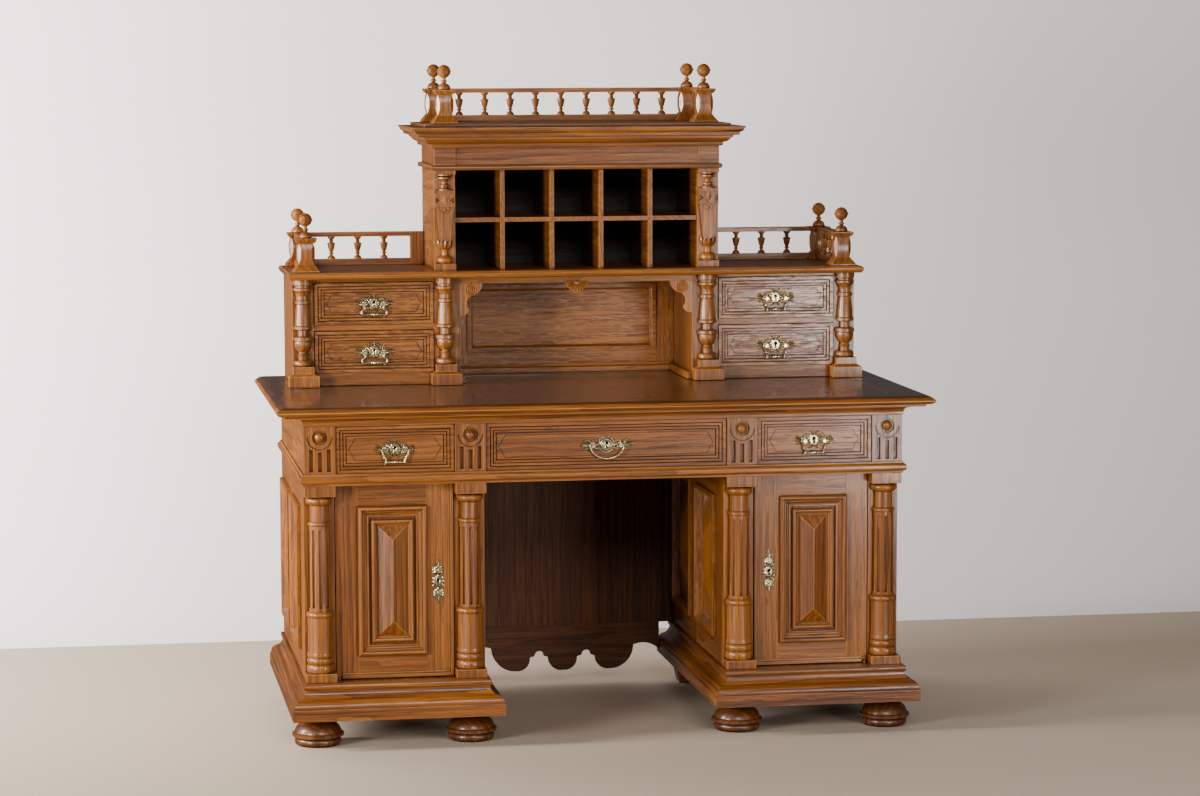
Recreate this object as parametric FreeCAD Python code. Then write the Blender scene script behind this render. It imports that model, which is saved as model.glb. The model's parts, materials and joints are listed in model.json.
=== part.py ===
"""Oak pedestal desk with a stage top: two cupboards, seven drawers, pigeonholes and turned galleries.

Millimetres. X runs along the desk, Y from the sitter's side (negative) to the back, Z is up.
The origin is on the floor, under the middle of the worktop.
"""
import FreeCAD
import Part
import math
import os

V = FreeCAD.Vector

# Worktop
TOP_WIDTH = 1510.0
TOP_DEPTH = 768.0
TOP_THICK = 26.0
TOP_OVERHANG = 65.0
TOP_NOSE = 22.0
TOP_FRAME_WIDTH = 92.0
FIELD_DROP = 0.8
NOSE_FILLET_HIGH = 7.0
NOSE_FILLET_OUT = 2.0
NOSE_TIP_HIGH = 14.0

# Heights of the layers from the floor up
FOOT_HEIGHT = 70.0
PLINTH_HEIGHT = 78.0
PEDESTAL_HEIGHT = 449.0
STRING_HEIGHT = 26.0
FRIEZE_HEIGHT = 109.0
BED_HEIGHT = 22.0
UPPER_CASE_HEIGHT = 254.0
SHELF_THICK = 16.0
PIGEON_HEIGHT = 238.0
CENTRE_STRING_HEIGHT = 11.0
CENTRE_FRIEZE_HEIGHT = 42.0
CORNICE_HEIGHT = 48.0

# Pedestals
PEDESTAL_WIDTH = 412.0
PILASTER_WIDTH = 70.0
PILASTER_SETBACK = 40.0
PILASTER_THICK = 24.0
SIDE_BOARD = 20.0
SIDE_STILE = 62.0
SIDE_RAIL = 58.0
SIDE_PANEL_THICK = 8.0
SIDE_PANEL_RISE = 20.0
SIDE_PANEL_SINK = 11.0
SIDE_FIELD_MARGIN = 9.0
PANEL_MOULD_WIDTH = 16.0
PANEL_MOULD_RISE = 10.0
PANEL_MOULD_SLOPE = 6.0
BACK_BOARD = 12.0
INNER_BOARD = 16.0
CUPBOARD_SHELF_SHARE = 0.5
CUPBOARD_SHELF_SETBACK = 40.0
PLINTH_FRONT_EXTRA = 18.0
PLINTH_OUT = 35.0
PLINTH_BOARD = 22.0
PLINTH_FASCIA = 28.0
PLINTH_BEAD = 11.0
PLINTH_BEAD_OUT = 8.0
PLINTH_ROUND = 3.0
PLINTH_OGEE_OUT = 20.0
PLINTH_OGEE_HIGH = 18.0

# Half columns in front of the pedestals
COLUMN_AXIS_OUT = 6.0
COLUMN_BLOCK_HIGH = 25.0
COLUMN_BASE_HIGH = 20.0
COLUMN_FOOT_R = 32.0
COLUMN_DRUM_R = 28.5
COLUMN_SHAFT_R = 23.0
COLUMN_NECK_R = 21.0
FLUTE_R = 3.6
FLUTE_COUNT = 5
FLUTE_STEP_DEG = 40.0

# Feet
BUN_R = 59.0
BUN_NECK_R = 27.0
BUN_BASE_R = 42.0
FOOT_INSET = 45.0
FOOT_OUTER_SHIFT = 7.0
FOOT_INNER_SHIFT = 2.0
BUN_RIDGE_LOW = 22.0
BUN_RIDGE_HIGH = 28.0
BUN_SHOULDER = 56.0
REAR_FOOT_WIDTH = 78.0
REAR_FOOT_DEPTH = 60.0
REAR_FOOT_TAPER = 16.0

# Frieze with its three drawers
FRIEZE_SIDE = 20.0
PARTITION = 24.0
BLOCK_THICK = 14.0
BLOCK_WIDTH = 71.0
BOSS_R = 12.0
BOSS_RING_R = 17.0
BOSS_DROP = 25.0
BOSS_SINK = 4.0
COLLAR_GAP = 9.0
COLLAR_WIDTH = 3.0
COLLAR_DEPTH = 2.0
HOLLOW_WIDTH = 9.0
HOLLOW_STEP = 20.0
HOLLOW_DEPTH = 6.0
HOLLOW_LOW = 6.0
HOLLOW_HIGH = 57.0
HOLLOW_MIDDLE_DROP = 7.0
BED_OUT = 15.0
STRING_OUT = 10.0
RUNNER_HEIGHT = 12.0

# Drawers
DRAWER_GAP = 1.5
DRAWER_RUN_GAP = 0.5
FRONT_THICK = 20.0
FRONT_PROUD = 4.0
FRONT_FRAME = 7.0
FRONT_STEP = 7.0
FRONT_STEPS = 3
FRONT_QUIRK = 1.8
FRONT_QUIRK_DEPTH = 2.2
FRONT_FIELD_SINK = 7.0
LINE_GROOVE = 2.0
LINE_MARGIN = 6.0
LINE_DEPTH = 1.2
LINE_CLIP_SHARE = 0.3
LINE_TIP_SHARE = 0.5
STEP_SLOPE = 1.2
STAGE_DRAWER_PROUD = 4.0
BOX_SIDE = 10.0
BOX_BOTTOM = 8.0
BOX_SIDE_DROP = 8.0
FRIEZE_DRAWER_DEPTH = 520.0
UPPER_DRAWER_DEPTH = 225.0

# Doors
DOOR_GAP = 2.0
DOOR_THICK = 24.0
DOOR_SWING_ROOM = 2.0
DOOR_LOCK_STILE = 60.0
DOOR_HINGE_STILE = 50.0
DOOR_RAIL = 51.0
DOOR_PANEL_THICK = 8.0
DOOR_MOULD_WIDTH = 25.0
DOOR_MOULD_RISE = 16.0
DOOR_INNER_MOULD = 12.0
DOOR_INNER_RISE = 11.0
DOOR_PANEL_SINK = 4.0
DOOR_HIP_RISE = 18.0
DOOR_QUIRK = 6.0
DOOR_FIELD_QUIRK = 2.0
DOOR_BEAD_WIDTH = 7.0
DOOR_BEAD_OUT = 4.5
DOOR_FILLET_WIDTH = 5.0
DOOR_FILLET_OUT = 2.0
PIN_INSET = 5.0
PIN_FRONT = 5.0
PIN_R = 2.0
PIN_CLEARANCE = 0.05
KNUCKLE_R = 4.0
HINGE_PLATE = 2.5
HINGE_LENGTH = 42.0
HINGE_WIDTH = 12.0
LEAF_GAP = 0.5
LEAF_SET_IN = 4.0

# Brass fittings
PLATE_THICK = 1.6
PLATE_WIDTH = 104.0
PLATE_HEIGHT = 44.0
POST_SPREAD = 46.0
CENTRE_POST_SPREAD = 62.0
POST_R = 4.0
POST_OUT = 13.0
BAIL_WIRE_R = 2.2
CENTRE_BAIL_WIRE_R = 1.6
BAIL_DROP = 26.0
CENTRE_BAIL_DROP = 30.0
BAIL_KNOB_R = 3.2
BAIL_PIVOT_CLEARANCE = 0.05
KEYHOLE_R = 2.4
KEYHOLE_SLOT = 9.0
KEYHOLE_RISE = -1.0
PIVOT_RISE = -3.0
BAIL_SIDE_GAP = 0.6
PLATE_SWELL_X = 0.45
PLATE_SWELL_Z = 0.72
KEY_SLOT_SHARE = 0.6
ESCUTCHEON_WIDTH = 30.0
ESCUTCHEON_HEIGHT = 96.0
LOCK_WIDTH = 60.0
LOCK_HEIGHT = 40.0
LOCK_DEPTH = 10.0
LOCK_INSET = 35.0
LOCK_RISE = 218.0
LOCK_EDGE = 4.0

# Kneehole back
KNEE_BACK_THICK = 14.0
KNEE_BACK_INSET = 14.0
APRON_STEP_SHARE = 0.4856
APRON_RAIL_EXTRA = 4.0
APRON_SHOULDER_SHARE = 0.2
APRON_SHOULDER_DROP = 16.0
KNEE_BOARDS = 3
APRON_LOBE_LOW = 34.0
APRON_ARCH_HIGH = 83.0
APRON_END_HIGH = 97.0

# Upper cabinets, niche and shelf
STAGE_DEPTH = 309.0
STAGE_HALF_WIDTH = 692.0
NICHE_HALF_WIDTH = 281.0
STAGE_SIDE = 18.0
STAGE_SIDE_INSET = 12.0
STAGE_STILE_THICK = 16.0
STAGE_GUIDE_HIGH = 10.0
STAGE_RAIL = 14.0
STAGE_BASE_RAIL = 30.0
STAGE_TOP_RAIL = 9.0
STAGE_BLOCK_WIDTH = 72.0
STAGE_BLOCK_DEPTH = 40.0
STAGE_COLUMN_OUT = 6.0
STAGE_PLINTH_HIGH = 26.0
STAGE_DIE_LOW = 32.0
STAGE_DIE_HIGH = 48.0
STAGE_DIE_IN = 11.0
STAGE_STILE = 63.0
STAGE_BACK = 12.0
NICHE_BACK_INSET = 31.0
NICHE_BACK_THICK = 18.0
NICHE_FRAME_SIDE = 46.0
NICHE_TOP_RAIL = 37.0
NICHE_LOW_RAIL = 31.0
NICHE_MOULD = 16.0
NICHE_BASE_HIGH = 20.0
NICHE_BASE_OUT = 12.0
NICHE_PANEL_SINK = 9.0
NICHE_MOULD_RISE = 4.0
NICHE_MOULD_SLOPE = 6.0
NICHE_APRON_HIGH = 16.0
NICHE_APRON_THICK = 12.0
BRACKET_WIDE = 54.0
BRACKET_HIGH = 77.0
PENDANT_HALF = 28.0
PENDANT_HIGH = 26.0
PENDANT_OUT = 3.0
SHELF_OVERHANG = 15.0
SHELF_NOSE = 7.0
SHELF_BEAK = 5.0
SHELF_EDGE_BOARD = 60.0

# Centre cabinet
CENTRE_HALF_WIDTH = 343.0
CENTRE_SETBACK = 20.0
CENTRE_SIDE = 14.0
PLATFORM_HIGH = 7.0
PLATFORM_INSET = 30.0
CENTRE_PILASTER = 51.0
CENTRE_PILASTER_OUT = 18.0
CENTRE_SIDE_INSET = 4.0
HERM_BOARD = 5.0
HERM_PLINTH_HIGH = 17.0
HERM_BUN_HIGH = 33.0
HERM_FOOT_HIGH = 52.0
HERM_COLLAR_HIGH = 69.0
HERM_SHAFT_HIGH = 151.0
HERM_DIE_HIGH = 183.0
HERM_PLATE_HIGH = 190.0
HERM_CAP_HIGH = 10.0
HERM_BUN_R = 19.5
HERM_STEM_R = 8.0
HERM_COLLAR_R = 16.5
HERM_SHAFT_LOW_HALF = 13.0
HERM_SHAFT_HALF = 21.0
HERM_DIE_HALF = 24.0
HERM_SPINDLE_R = 16.0
LUNETTE_R = 15.0
LUNETTE_DEPTH = 2.0
LUNETTE_BOSS_R = 3.5
DIAMOND_HALF = 10.0
DIAMOND_HIGH = 13.0
DIAMOND_OUT = 4.0
EYE_GAP = 1.5
EYE_HALF = 8.0
EYE_DEPTH = 5.0
PIGEON_BOARD = 10.5
PIGEON_COLUMNS = 5
PIGEON_SHELF_SHARE = 0.5
CORNICE_OUT = 54.0
CENTRE_STRING_OUT = 7.0
CENTRE_FRIEZE_RECESS = 3.0

# Galleries
POST_SQUARE = 42.0
POST_END_SQUARE = 34.0
POST_SLOPE_HIGH = 15.0
POST_BODY_HIGH = 50.0
POST_BASE_SQUARE = 60.0
POST_BASE_HIGH = 20.0
POST_PLINTH_HIGH = 4.0
POST_LEDGE = 1.0
POST_CAP_SQUARE = 51.0
POST_CAP_LOW_SQUARE = 42.0
POST_CAP_HIGH = 11.0
POST_CAP_EDGE = 3.0
FINIAL_BALL_R = 16.0
FINIAL_NECK_HIGH = 27.0
FINIAL_FOOT_R = 15.5
FINIAL_RING_OUT = 2.0
RAIL_LOW_HIGH = 16.0
RAIL_DEPTH = 22.0
BALUSTER_R = 9.5
SIDE_BALUSTERS = 3
TOP_BALUSTERS = 9
TOP_POST_HALF_SPAN = 313.0
TOP_POST_DEPTH_SPAN = 215.0
SIDE_POST_INSET = 45.0
SIDE_POST_SETBACK = 36.0
POST_BACK_GAP = 2.0
END_POST = 30.0

# Planes and levels that follow from the sizes
HALF_CASE = TOP_WIDTH / 2 - TOP_OVERHANG
HALF_KNEE = HALF_CASE - PEDESTAL_WIDTH
FRONT = -TOP_DEPTH / 2 + TOP_OVERHANG
BACK = TOP_DEPTH / 2
Z_PLINTH = FOOT_HEIGHT
Z_PEDESTAL = Z_PLINTH + PLINTH_HEIGHT
Z_STRING = Z_PEDESTAL + PEDESTAL_HEIGHT
Z_FRIEZE = Z_STRING + STRING_HEIGHT
Z_BED = Z_FRIEZE + FRIEZE_HEIGHT
Z_TOP_UNDER = Z_BED + BED_HEIGHT
Z_TOP = Z_TOP_UNDER + TOP_THICK
Z_SHELF = Z_TOP + UPPER_CASE_HEIGHT
Z_STAGE = Z_SHELF + SHELF_THICK
Z_CENTRE_STRING = Z_STAGE + PIGEON_HEIGHT
Z_CENTRE_FRIEZE = Z_CENTRE_STRING + CENTRE_STRING_HEIGHT
Z_CORNICE = Z_CENTRE_FRIEZE + CENTRE_FRIEZE_HEIGHT
Z_CORNICE_TOP = Z_CORNICE + CORNICE_HEIGHT

PILASTER_FACE = FRONT + PILASTER_SETBACK
DOOR_BACK = PILASTER_FACE + DOOR_THICK
OUTER_COLUMN_X = HALF_CASE - PILASTER_WIDTH / 2
INNER_COLUMN_X = HALF_KNEE + PILASTER_WIDTH / 2
COLUMN_AXIS_Y = PILASTER_FACE - COLUMN_AXIS_OUT
DOOR_X0 = HALF_KNEE + PILASTER_WIDTH + DOOR_GAP
DOOR_X1 = HALF_CASE - PILASTER_WIDTH - DOOR_GAP
DOOR_Z0 = Z_PEDESTAL + DOOR_GAP
DOOR_Z1 = Z_STRING - DOOR_GAP
PIN_X = DOOR_X1 - PIN_INSET
PIN_Y = PILASTER_FACE - PIN_FRONT
LOCK_X = DOOR_X0 + LOCK_INSET
LOCK_Z = DOOR_Z0 + LOCK_RISE

STAGE_FRONT = BACK - STAGE_DEPTH
STAGE_FACE = STAGE_FRONT + STAGE_BLOCK_DEPTH
STAGE_COLUMN_Y = STAGE_FACE - STAGE_COLUMN_OUT
STAGE_OUTER_X = STAGE_HALF_WIDTH - STAGE_BLOCK_WIDTH / 2
STAGE_INNER_X = NICHE_HALF_WIDTH + STAGE_BLOCK_WIDTH / 2
STAGE_OPEN_X0 = NICHE_HALF_WIDTH + STAGE_STILE
STAGE_OPEN_X1 = STAGE_HALF_WIDTH - STAGE_STILE
STAGE_OPEN_Z0 = Z_TOP + STAGE_BASE_RAIL
STAGE_OPEN_Z1 = Z_SHELF - STAGE_TOP_RAIL
STAGE_DRAWER_HIGH = (STAGE_OPEN_Z1 - STAGE_OPEN_Z0 - STAGE_RAIL) / 2
CENTRE_FRONT = STAGE_FRONT + CENTRE_SETBACK
CENTRE_FACE = CENTRE_FRONT + CENTRE_PILASTER_OUT

Z_PLATFORM = Z_CORNICE_TOP + PLATFORM_HIGH
SIDE_POST_X = STAGE_HALF_WIDTH - SIDE_POST_INSET
SIDE_POST_FRONT_Y = STAGE_FRONT + SIDE_POST_SETBACK
BACK_POST_Y = BACK - POST_BASE_SQUARE / 2 - POST_BACK_GAP
TOP_POST_FRONT_Y = BACK_POST_Y - TOP_POST_DEPTH_SPAN
RAIL_HIGH = POST_CAP_HIGH
BALUSTER_HIGH = POST_BASE_HIGH + POST_BODY_HIGH - RAIL_LOW_HIGH


def block(x0, x1, y0, y1, z0, z1):
    """A board between two corners."""
    return Part.makeBox(x1 - x0, y1 - y0, z1 - z0, V(x0, y0, z0))


def mirrored(shape):
    """The same piece on the other side of the desk's middle."""
    return shape.mirror(V(0, 0, 0), V(1, 0, 0))


def pair(shapes):
    """The pieces given and their mirror images."""
    return list(shapes) + [mirrored(shape) for shape in shapes]


def outline(points):
    """A closed wire; a point of six numbers is an arc through its first three to its last three."""
    edges = []
    last = V(*points[0])
    for point in points[1:] + [points[0]]:
        end = V(*point[-3:])
        if len(point) == 6:
            edges.append(Part.Arc(last, V(*point[:3]), end).toShape())
        elif end.distanceToPoint(last) > 1e-6:
            edges.append(Part.makeLine(last, end))
        last = end
    return Part.Wire(edges)


def prism(points, along):
    """A flat outline pushed along a vector."""
    return Part.Face(outline(points)).extrude(V(*along))


def turned(profile, x, y):
    """A lathe piece on a vertical axis; (r, z) is a corner, (rm, zm, r, z) an arc through rm, zm."""
    points = [(x, y, profile[0][-1])]
    for step in profile:
        if len(step) == 4:
            points.append((x + step[0], y, step[1], x + step[2], y, step[3]))
        else:
            points.append((x + step[0], y, step[1]))
    points.append((x, y, profile[-1][-1]))
    return Part.Face(outline(points)).revolve(V(x, y, 0), V(0, 0, 1), 360)


def frustum(low, high):
    """A solid between two rectangles, each given as its four corners in the same order."""
    wires = [Part.makePolygon([V(*p) for p in ring] + [V(*ring[0])]) for ring in (low, high)]
    return Part.makeLoft(wires, True, True)


def facing_rect(x0, x1, z0, z1, y):
    """Corners of an upright rectangle seen from the front."""
    return [(x0, y, z0), (x1, y, z0), (x1, y, z1), (x0, y, z1)]


def side_rect(y0, y1, z0, z1, x):
    """Corners of an upright rectangle seen from the side."""
    return [(x, y0, z0), (x, y1, z0), (x, y1, z1), (x, y0, z1)]


def floor_rect(x0, x1, y0, y1, z):
    """Corners of a level rectangle."""
    return [(x0, y0, z), (x1, y0, z), (x1, y1, z), (x0, y1, z)]


def shrunk(rect, by):
    """A rectangle drawn in by one amount on all its edges, in its own plane."""
    middle = [sum(p[i] for p in rect) / 4 for i in range(3)]
    return [tuple(c - math.copysign(by, c - m) if abs(c - m) > 1e-6 else c
                  for c, m in zip(p, middle)) for p in rect]


def shifted(rect, dy):
    """A rectangle moved towards the back."""
    return [(x, y + dy, z) for x, y, z in rect]


def hipped(rect, ridge_from, ridge_to):
    """A roof-shaped raised panel on a rectangle with a ridge parallel to its upright edges."""
    a, b, c, d = [V(*p) for p in rect]
    low, high = V(*ridge_from), V(*ridge_to)
    rings = [[a, b, c, d], [a, b, low], [b, c, high, low], [c, d, high], [d, a, low, high]]
    faces = [Part.Face(Part.makePolygon(ring + [ring[0]])) for ring in rings]
    solid = Part.Solid(Part.Shell(faces))
    if solid.Volume < 0:
        solid.reverse()
    return solid


def trim_runs(x0, x1, front, back, profile, inward=0.0):
    """Mitred runs round the front and both ends; the profile's points are (out, z) or arcs of them."""
    reach = max(out for step in profile for out in step[0::2]) + 1.0

    def section(place):
        steps = []
        for step in profile:
            pairs = [step[i:i + 2] for i in range(0, len(step), 2)]
            steps.append(tuple(c for out, z in pairs for c in place(out, z)))
        return steps

    def mitre(corners):
        low = profile[0][-1] - 500
        return prism([(cx, cy, low) for cx, cy in corners], (0, 0, 1000))

    long_run = prism(section(lambda out, z: (x0 - reach, front - out, z)), (x1 - x0 + 2 * reach, 0, 0))
    left_run = prism(section(lambda out, z: (x0 - out, front - reach, z)), (0, back - front + reach, 0))
    right_run = prism(section(lambda out, z: (x1 + out, front - reach, z)), (0, back - front + reach, 0))
    outer_left, inner_left = (x0 - reach, front - reach), (x0 + inward, front + inward)
    outer_right, inner_right = (x1 + reach, front - reach), (x1 - inward, front + inward)
    front_part = long_run.common(mitre([outer_left, outer_right, inner_right, inner_left]))
    left_part = left_run.common(mitre([outer_left, inner_left, (x0 + inward, back), (x0 - reach, back)]))
    right_part = right_run.common(mitre([outer_right, inner_right, (x1 - inward, back), (x1 + reach, back)]))
    return [front_part, left_part, right_part]


def solids_of(shapes):
    """Every solid in a list of shapes."""
    return [solid for shape in shapes for solid in shape.Solids]


def write(name, shapes):
    """One file for one named sub-part, which may be a set of separate solids."""
    pieces = solids_of(shapes)
    shape = pieces[0] if len(pieces) == 1 else Part.makeCompound(pieces)
    shape.exportStep("parts/" + name + ".step")


def worktop_members():
    """Four mitred boards; three carry the rounded nose over a small fillet."""
    z0, z1 = Z_TOP_UNDER, Z_TOP
    tip = TOP_OVERHANG
    arris = tip - TOP_NOSE
    inner = tip - TOP_FRAME_WIDTH
    fillet = arris + NOSE_FILLET_OUT
    nose_low = z0 + NOSE_FILLET_HIGH
    profile = [(inner, z0), (fillet, z0), (fillet, nose_low),
               (tip - 5, nose_low + 1.5, tip, z0 + NOSE_TIP_HIGH), (tip - 6, z1 - 5.5, arris, z1),
               (inner, z1)]
    runs = trim_runs(-HALF_CASE, HALF_CASE, FRONT, BACK, profile, TOP_FRAME_WIDTH - tip)
    inset = HALF_CASE + inner
    rear = block(-inset, inset, BACK - TOP_FRAME_WIDTH, BACK, z0, z1)
    return runs + [rear]


def worktop_field():
    """The board let into the worktop frame."""
    inset = HALF_CASE + TOP_OVERHANG - TOP_FRAME_WIDTH
    front = FRONT - TOP_OVERHANG + TOP_FRAME_WIDTH
    return [block(-inset, inset, front, BACK - TOP_FRAME_WIDTH, Z_TOP_UNDER, Z_TOP - FIELD_DROP)]


def bed_mouldings():
    """The hollow moulding under the worktop's overhang."""
    z0, z1 = Z_BED, Z_TOP_UNDER
    profile = [(0, z0), (3, z0), (3, z0 + 4), (6, z1 - 8, BED_OUT, z1 - 4), (BED_OUT, z1), (0, z1)]
    runs = trim_runs(-HALF_CASE, HALF_CASE, FRONT, BACK, profile)
    deck = block(-HALF_CASE, HALF_CASE, FRONT, BACK, Z_BED, Z_TOP_UNDER)
    return runs + [deck]


def string_boards():
    """The board under the frieze with its moulded edge, and the runs of that edge."""
    z0, z1 = Z_STRING, Z_FRIEZE
    profile = [(0, z0), (3, z0), (3, z0 + 5), (STRING_OUT - 2, z0 + 7, STRING_OUT, z0 + 12),
               (STRING_OUT, z0 + 17), (STRING_OUT - 3, z1 - 5, 4, z1 - 3), (4, z1), (0, z1)]
    runs = trim_runs(-HALF_CASE, HALF_CASE, FRONT, BACK, profile)
    return runs + [block(-HALF_CASE, HALF_CASE, FRONT, BACK, z0, z1)]


def frieze_case():
    """Ends, partitions and back of the drawer layer."""
    face = FRONT + BLOCK_THICK
    ends = pair([block(HALF_CASE - FRIEZE_SIDE, HALF_CASE, face, BACK, Z_FRIEZE, Z_BED)])
    outer = HALF_CASE - BLOCK_WIDTH
    outer_stiles = pair([block(outer, HALF_CASE - FRIEZE_SIDE, face, face + PARTITION, Z_FRIEZE, Z_BED)])
    middle = HALF_KNEE + BLOCK_WIDTH / 2
    partitions = pair([block(middle - PARTITION / 2, middle + PARTITION / 2, face + PARTITION,
                             BACK - BACK_BOARD, Z_FRIEZE, Z_BED)])
    inner_stiles = pair([block(HALF_KNEE, HALF_KNEE + BLOCK_WIDTH, face, face + PARTITION, Z_FRIEZE, Z_BED)])
    inset = HALF_CASE - FRIEZE_SIDE
    rear = block(-inset, inset, BACK - BACK_BOARD, BACK, Z_FRIEZE, Z_BED)
    return ends + outer_stiles + partitions + inner_stiles + [rear]


def drawer_runners():
    """Guide strips beside each frieze drawer, on the string board."""
    y0 = FRONT + BLOCK_THICK + PARTITION
    y1 = BACK - BACK_BOARD
    z1 = Z_FRIEZE + RUNNER_HEIGHT
    outer = HALF_CASE - BLOCK_WIDTH
    inner = HALF_KNEE + BLOCK_WIDTH
    middle = HALF_KNEE + BLOCK_WIDTH / 2
    strips = [block(outer, HALF_CASE - FRIEZE_SIDE, y0, y1, Z_FRIEZE, z1),
              block(middle + PARTITION / 2, inner, y0, y1, Z_FRIEZE, z1),
              block(HALF_KNEE, middle - PARTITION / 2, y0, y1, Z_FRIEZE, z1)]
    return pair(strips)


def frieze_block(x):
    """One carved frieze block: a sunk ring round a boss, a collar arc and three hollows below."""
    half = BLOCK_WIDTH / 2
    boss_z = Z_BED - BOSS_DROP
    body = block(x - half, x + half, FRONT, FRONT + BLOCK_THICK, Z_FRIEZE, Z_BED)

    def disc(radius, deep):
        return Part.makeCylinder(radius, 1 + deep, V(x, FRONT - 1, boss_z), V(0, 1, 0))

    collar_r = BOSS_RING_R + COLLAR_GAP
    collar = disc(collar_r + COLLAR_WIDTH, COLLAR_DEPTH).cut(disc(collar_r, COLLAR_DEPTH))
    lower_half = block(x - half, x + half, FRONT - 2, FRONT + BLOCK_THICK, Z_FRIEZE, boss_z)
    cutters = [disc(BOSS_RING_R, BOSS_SINK), collar.common(lower_half)]
    for side in (-1, 0, 1):
        top = Z_FRIEZE + HOLLOW_HIGH - HOLLOW_MIDDLE_DROP * (side == 0)
        low = Z_FRIEZE + HOLLOW_LOW
        x0 = x + side * HOLLOW_STEP - HOLLOW_WIDTH / 2
        cutters.append(block(x0, x0 + HOLLOW_WIDTH, FRONT - 1, FRONT + HOLLOW_DEPTH, low, top))
    return body.cut(Part.makeCompound(cutters))


def frieze_bosses(x):
    """The turned half ball in a frieze block's ring."""
    seat = FRONT + BOSS_SINK
    z = Z_BED - BOSS_DROP
    ball = Part.makeSphere(BOSS_R, V(x, seat, z))
    return ball.common(block(x - BOSS_R, x + BOSS_R, seat - BOSS_R, seat, z - BOSS_R, z + BOSS_R))


def frieze_blocks():
    """Four blocks and four bosses."""
    places = [HALF_CASE - BLOCK_WIDTH / 2, HALF_KNEE + BLOCK_WIDTH / 2]
    return pair([make(x) for x in places for make in (frieze_block, frieze_bosses)])


def panelled_side(x_out, x_in, outward):
    """One framed pedestal side with two panel openings; outward is the way its face looks."""
    x0, x1 = min(x_out, x_in), max(x_out, x_in)
    y0 = PILASTER_FACE + PILASTER_THICK
    z0, z1 = Z_PEDESTAL, Z_STRING
    middle = (y0 + BACK) / 2
    stile_spans = [(y0, y0 + SIDE_STILE), (middle - SIDE_STILE / 2, middle + SIDE_STILE / 2),
                   (BACK - SIDE_STILE, BACK)]
    frame = [block(x0, x1, a, b, z0, z1) for a, b in stile_spans]
    spans = [(stile_spans[0][1], stile_spans[1][0]), (stile_spans[1][1], stile_spans[2][0])]
    panels = []
    for a, b in spans:
        frame.append(block(x0, x1, a, b, z0, z0 + SIDE_RAIL))
        frame.append(block(x0, x1, a, b, z1 - SIDE_RAIL, z1))
        panels += side_panel(x_out, outward, a, b, z0 + SIDE_RAIL, z1 - SIDE_RAIL)
    return frame, panels


def side_panel(x_face, outward, y0, y1, z0, z1):
    """A panel in a side opening: board, mitred moulding and hipped field."""
    seat = x_face - outward * SIDE_PANEL_SINK
    behind = seat - outward * SIDE_PANEL_THICK
    board = block(min(seat, behind), max(seat, behind), y0, y1, z0, z1)
    opening = side_rect(y0, y1, z0, z1, seat)
    lifted = side_rect(y0, y1, z0, z1, seat + outward * (SIDE_PANEL_SINK + PANEL_MOULD_RISE))
    inner = shrunk(opening, PANEL_MOULD_WIDTH)
    hollow = frustum(inner, shrunk(lifted, PANEL_MOULD_WIDTH - PANEL_MOULD_SLOPE))
    mould = frustum(opening, lifted).cut(hollow)
    field = shrunk(opening, PANEL_MOULD_WIDTH + SIDE_FIELD_MARGIN)
    ridge_y = (y0 + y1) / 2
    half = (field[1][1] - field[0][1]) / 2
    rise = seat + outward * SIDE_PANEL_RISE
    hip = hipped(field, (rise, ridge_y, field[0][2] + half), (rise, ridge_y, field[2][2] - half))
    return [board, mould, hip]


def pedestal_boards():
    """Side frames and pilaster boards of both pedestals, and the panels in those frames."""
    outer_frame, outer_panels = panelled_side(HALF_CASE, HALF_CASE - SIDE_BOARD, 1)
    inner_frame, inner_panels = panelled_side(HALF_KNEE, HALF_KNEE + SIDE_BOARD, -1)
    y0, y1 = PILASTER_FACE, PILASTER_FACE + PILASTER_THICK
    pilasters = [block(HALF_CASE - PILASTER_WIDTH, HALF_CASE, y0, y1, Z_PEDESTAL, Z_STRING),
                 block(HALF_KNEE, HALF_KNEE + PILASTER_WIDTH, y0, y1, Z_PEDESTAL, Z_STRING)]
    return pair(outer_frame + inner_frame + pilasters), pair(outer_panels + inner_panels)


def pedestal_insides():
    """Bottom, shelf and back of each cupboard."""
    x0, x1 = HALF_KNEE + SIDE_BOARD, HALF_CASE - SIDE_BOARD
    y0, y1 = DOOR_BACK + DOOR_SWING_ROOM, BACK - BACK_BOARD
    bottom = block(x0, x1, y0, y1, Z_PEDESTAL, Z_PEDESTAL + INNER_BOARD)
    shelf_z = Z_PEDESTAL + PEDESTAL_HEIGHT * CUPBOARD_SHELF_SHARE
    shelf = block(x0, x1, y0 + CUPBOARD_SHELF_SETBACK, y1, shelf_z, shelf_z + INNER_BOARD)
    rear = block(x0, x1, y1, BACK, Z_PEDESTAL, Z_STRING)
    return pair([bottom, shelf, rear])


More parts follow.
